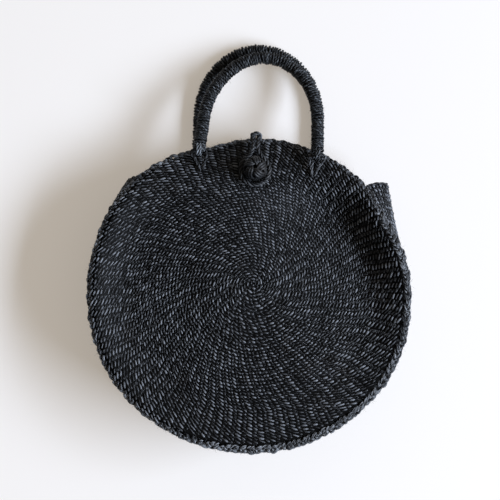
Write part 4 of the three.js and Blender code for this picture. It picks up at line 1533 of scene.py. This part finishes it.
@dataclass
class Handbag:
    """The whole bag: builds its pieces, dresses them and ties them to the bodies."""

    form: BagForm = field(default_factory=BagForm)
    outer_stitch: Stitch = field(default_factory=Stitch)
    inner_stitch: Stitch = field(default_factory=lambda: Stitch(5, (-0.97, -0.5, 0.5, 0.97)))
    ground_thickness: float = 0.0005
    fold_start: tuple[float, float, float] = (0.0, 0.098, 0.062)
    fold_end: tuple[float, float, float] = (0.0, 0.132, 0.062)
    front_eye: tuple[float, float, float] = (0.003, 0.15337, 0.05674)
    back_eye: tuple[float, float, float] = (0.0025, 0.15675, 0.00715)
    front_droop: float = math.radians(19.0)
    front_span: float = 0.133
    back_span: float = 0.139
    fuzz_depth: float = 0.8
    border_hairs: int = 2600
    border_points: int = 900
    binding_share: tuple[float, float] = (0.02, 0.98)
    binding_points: int = 30

    def __post_init__(self) -> None:
        """Makes the finishes."""
        # The pale colour of each finish shows on the crests: partly worn fibre, partly painted highlight.
        self.twined = AbacaFinish("twined_black_abaca").material()
        # Near-black, dull finish of the warps, the handle cores and the knob's filling: painted shade in the
        # gaps between strands.
        dark = {"deep": "#030303", "pale": "#0a0a0b", "worn": "#070606"}
        self.painted_shade_black = AbacaFinish("abaca_warps_painted_shade", **dark, gloss=0.1).material()
        self.plaited = AbacaFinish("plaited_black_abaca", pale="#8c8f93").material()
        self.cord = AbacaFinish("twisted_black_abaca", pale="#585a5d", fibre_mm=0.36).material()
        self.wound = AbacaFinish("wound_black_abaca", pale="#868c92", fibre_mm=0.36).material()

    def dress(
        self,
        name: str,
        strands: StrandMesh,
        material: bpy.types.Material,
        bodies: tuple[Body, ...],
        nodes: tuple[str, ...] = (),
    ) -> None:
        """Makes a piece and ties it to its body; a piece across the mouth's fold only has its place baked
        into its points.

        Args:
            name: Name of the piece.
            strands: Its strands.
            material: Its finish.
            bodies: One body, or the two on either side of the fold.
            nodes: Solids that it stands for.
        """
        piece = strands.build(name, material)
        if len(bodies) == 2:
            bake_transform(piece)
        else:
            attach(piece, bodies[0].value)
        if nodes:
            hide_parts(*nodes)

    def build_panels(self) -> None:
        """Front and back panels: stitches on both faces over the warps."""
        twining = DiscTwining(self.form)
        across = (Body.BAG, Body.FLAP)
        front, back = self.form.front, self.form.back
        outer, inner, thin = self.outer_stitch, self.inner_stitch, self.ground_thickness
        front_nodes = ("front_panel", "front_mouth_flap")
        first = twining.face(front, 1, outer, seed=11, weft=0, wefts=2)
        second = twining.face(front, 1, outer, seed=15, weft=1, wefts=2)
        self.dress("front_weave", first, self.twined, across, front_nodes)
        self.dress("front_weave_second", second, self.twined, across)
        self.dress("front_weave_inside", twining.face(front, -1, inner, 12), self.twined, across)
        self.dress("front_warps", twining.ground(front, thin), self.painted_shade_black, across)
        bag = (Body.BAG,)
        outside, inside = (twining.face(back, facing, inner, seed) for facing, seed in ((-1, 13), (1, 14)))
        self.dress("back_weave", outside, self.twined, bag, ("back_panel",))
        self.dress("back_weave_inside", inside, self.twined, bag)
        self.dress("back_warps", twining.ground(back, thin), self.painted_shade_black, bag)

    def build_gusset(self) -> None:
        """Gusset: stitches on both faces over the warps, and a cord along each free end."""
        twining = GussetTwining(self.form)
        bag = (Body.BAG,)
        outside, inside = twining.face(1, self.outer_stitch, 21), twining.face(-1, self.inner_stitch, 22)
        self.dress("gusset_weave", outside, self.twined, bag, ("gusset",))
        self.dress("gusset_weave_inside", inside, self.twined, bag)
        self.dress("gusset_warps", twining.ground(self.ground_thickness), self.painted_shade_black, bag)
        binding = StrandMesh(seed=23)
        share = np.linspace(*self.binding_share, self.binding_points)
        for end in (-1.0, 1.0):
            line = self.form.gusset(np.full_like(share, end * self.form.gusset_sweep), share)
            PliedCord(self.form.panel_thickness).along(binding, line)
        self.dress("gusset_end_bindings", binding, self.cord, bag)

    def build_borders(self) -> None:
        """Plaited borders of both panels."""
        plait = Plait()
        across = (Body.BAG, Body.FLAP)
        bag = (Body.BAG,)
        form = self.form
        front_nodes = ("front_seam_border", "front_mouth_border")
        front, back = plait.around(form.front_edge, 31), plait.around(form.back_rim, 32)
        self.dress("front_plait", front, self.plaited, across, front_nodes)
        self.dress("back_plait", back, self.plaited, bag, ("back_border",))
        angle = full_turn(self.border_points)
        sides = (("front", form.front_edge, across, 33), ("back", form.back_rim, bag, 34))
        for name, rim, bodies, seed in sides:
            skin = self.fuzz_depth * form.border_radius
            fibres = StrayFibres(seed).over(rim(angle), skin, np.asarray, self.border_hairs, closed=True)
            self.dress(f"{name}_plait_fuzz", fibres, self.plaited, bodies)

    def build_handles(self) -> None:
        """Both handles with their lashings."""
        front = WoundHandle(
            "front_handle",
            Body.FRONT_HANDLE,
            self.front_eye,
            droop=self.front_droop,
            lean=0.0045,
            narrowing=0.08,
            span=self.front_span,
            seed=51,
        )
        back = WoundHandle(
            "back_handle",
            Body.BACK_HANDLE,
            self.back_eye,
            droop=0.0,
            lean=-0.001,
            narrowing=0.0,
            span=self.back_span,
            seed=52,
        )
        for handle in (front, back):
            nodes = (f"{handle.name}_winding", f"{handle.name}_core")
            self.dress(f"{handle.name}_fuzz", handle.fuzz(), self.cord, (handle.body,))
            self.dress(f"{handle.name}_wrap", handle.wound(), self.wound, (handle.body,), nodes)
            self.dress(f"{handle.name}_filling", handle.core(), self.painted_shade_black, (handle.body,))
        sides = (("left", -1), ("right", 1))
        faces = (
            ("front", self.front_eye, self.front_span, 1, Body.FLAP),
            ("back", self.back_eye, self.back_span, -1, Body.BAG),
        )
        for number, (face, eye, span, facing, body) in enumerate(faces):
            for side, sign in sides:
                node = f"{face}_{side}_lashing"
                foot = (eye[0] + sign * span / 2, *eye[1:])
                lashing = Lashing(self.form, foot, facing, sign, 60 + 2 * number + int(sign > 0))
                self.dress(f"{node}_cord", lashing.tied(), self.cord, (body,), (node,))

    def build_closure(self) -> None:
        """The knotted knob and the loop."""
        knob = KnotKnob(self.form)
        flap = (Body.FLAP,)
        self.dress("knob_strands", knob.strands(), self.cord, flap, ("knob_knot",))
        self.dress("knob_filling", knob.filling(), self.painted_shade_black, flap, ("knob_core",))
        self.dress("knob_tie", knob.shank(), self.cord, flap, ("knob_shank",))
        loop = ClosureLoop(self.form, knob)
        self.dress("closure_cord", loop.tied(), self.cord, (Body.LOOP,), ("closure_loop",))

    def build(self) -> None:
        """Builds every piece."""
        self.build_panels()
        self.build_gusset()
        self.build_borders()
        self.build_handles()
        self.build_closure()


def main() -> None:
    """Loads the frame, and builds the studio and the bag."""
    logging.basicConfig(level=logging.INFO, format="%(name)s %(message)s")
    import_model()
    Studio().build()
    Handbag().build()


if __name__ == "__main__":
    main()
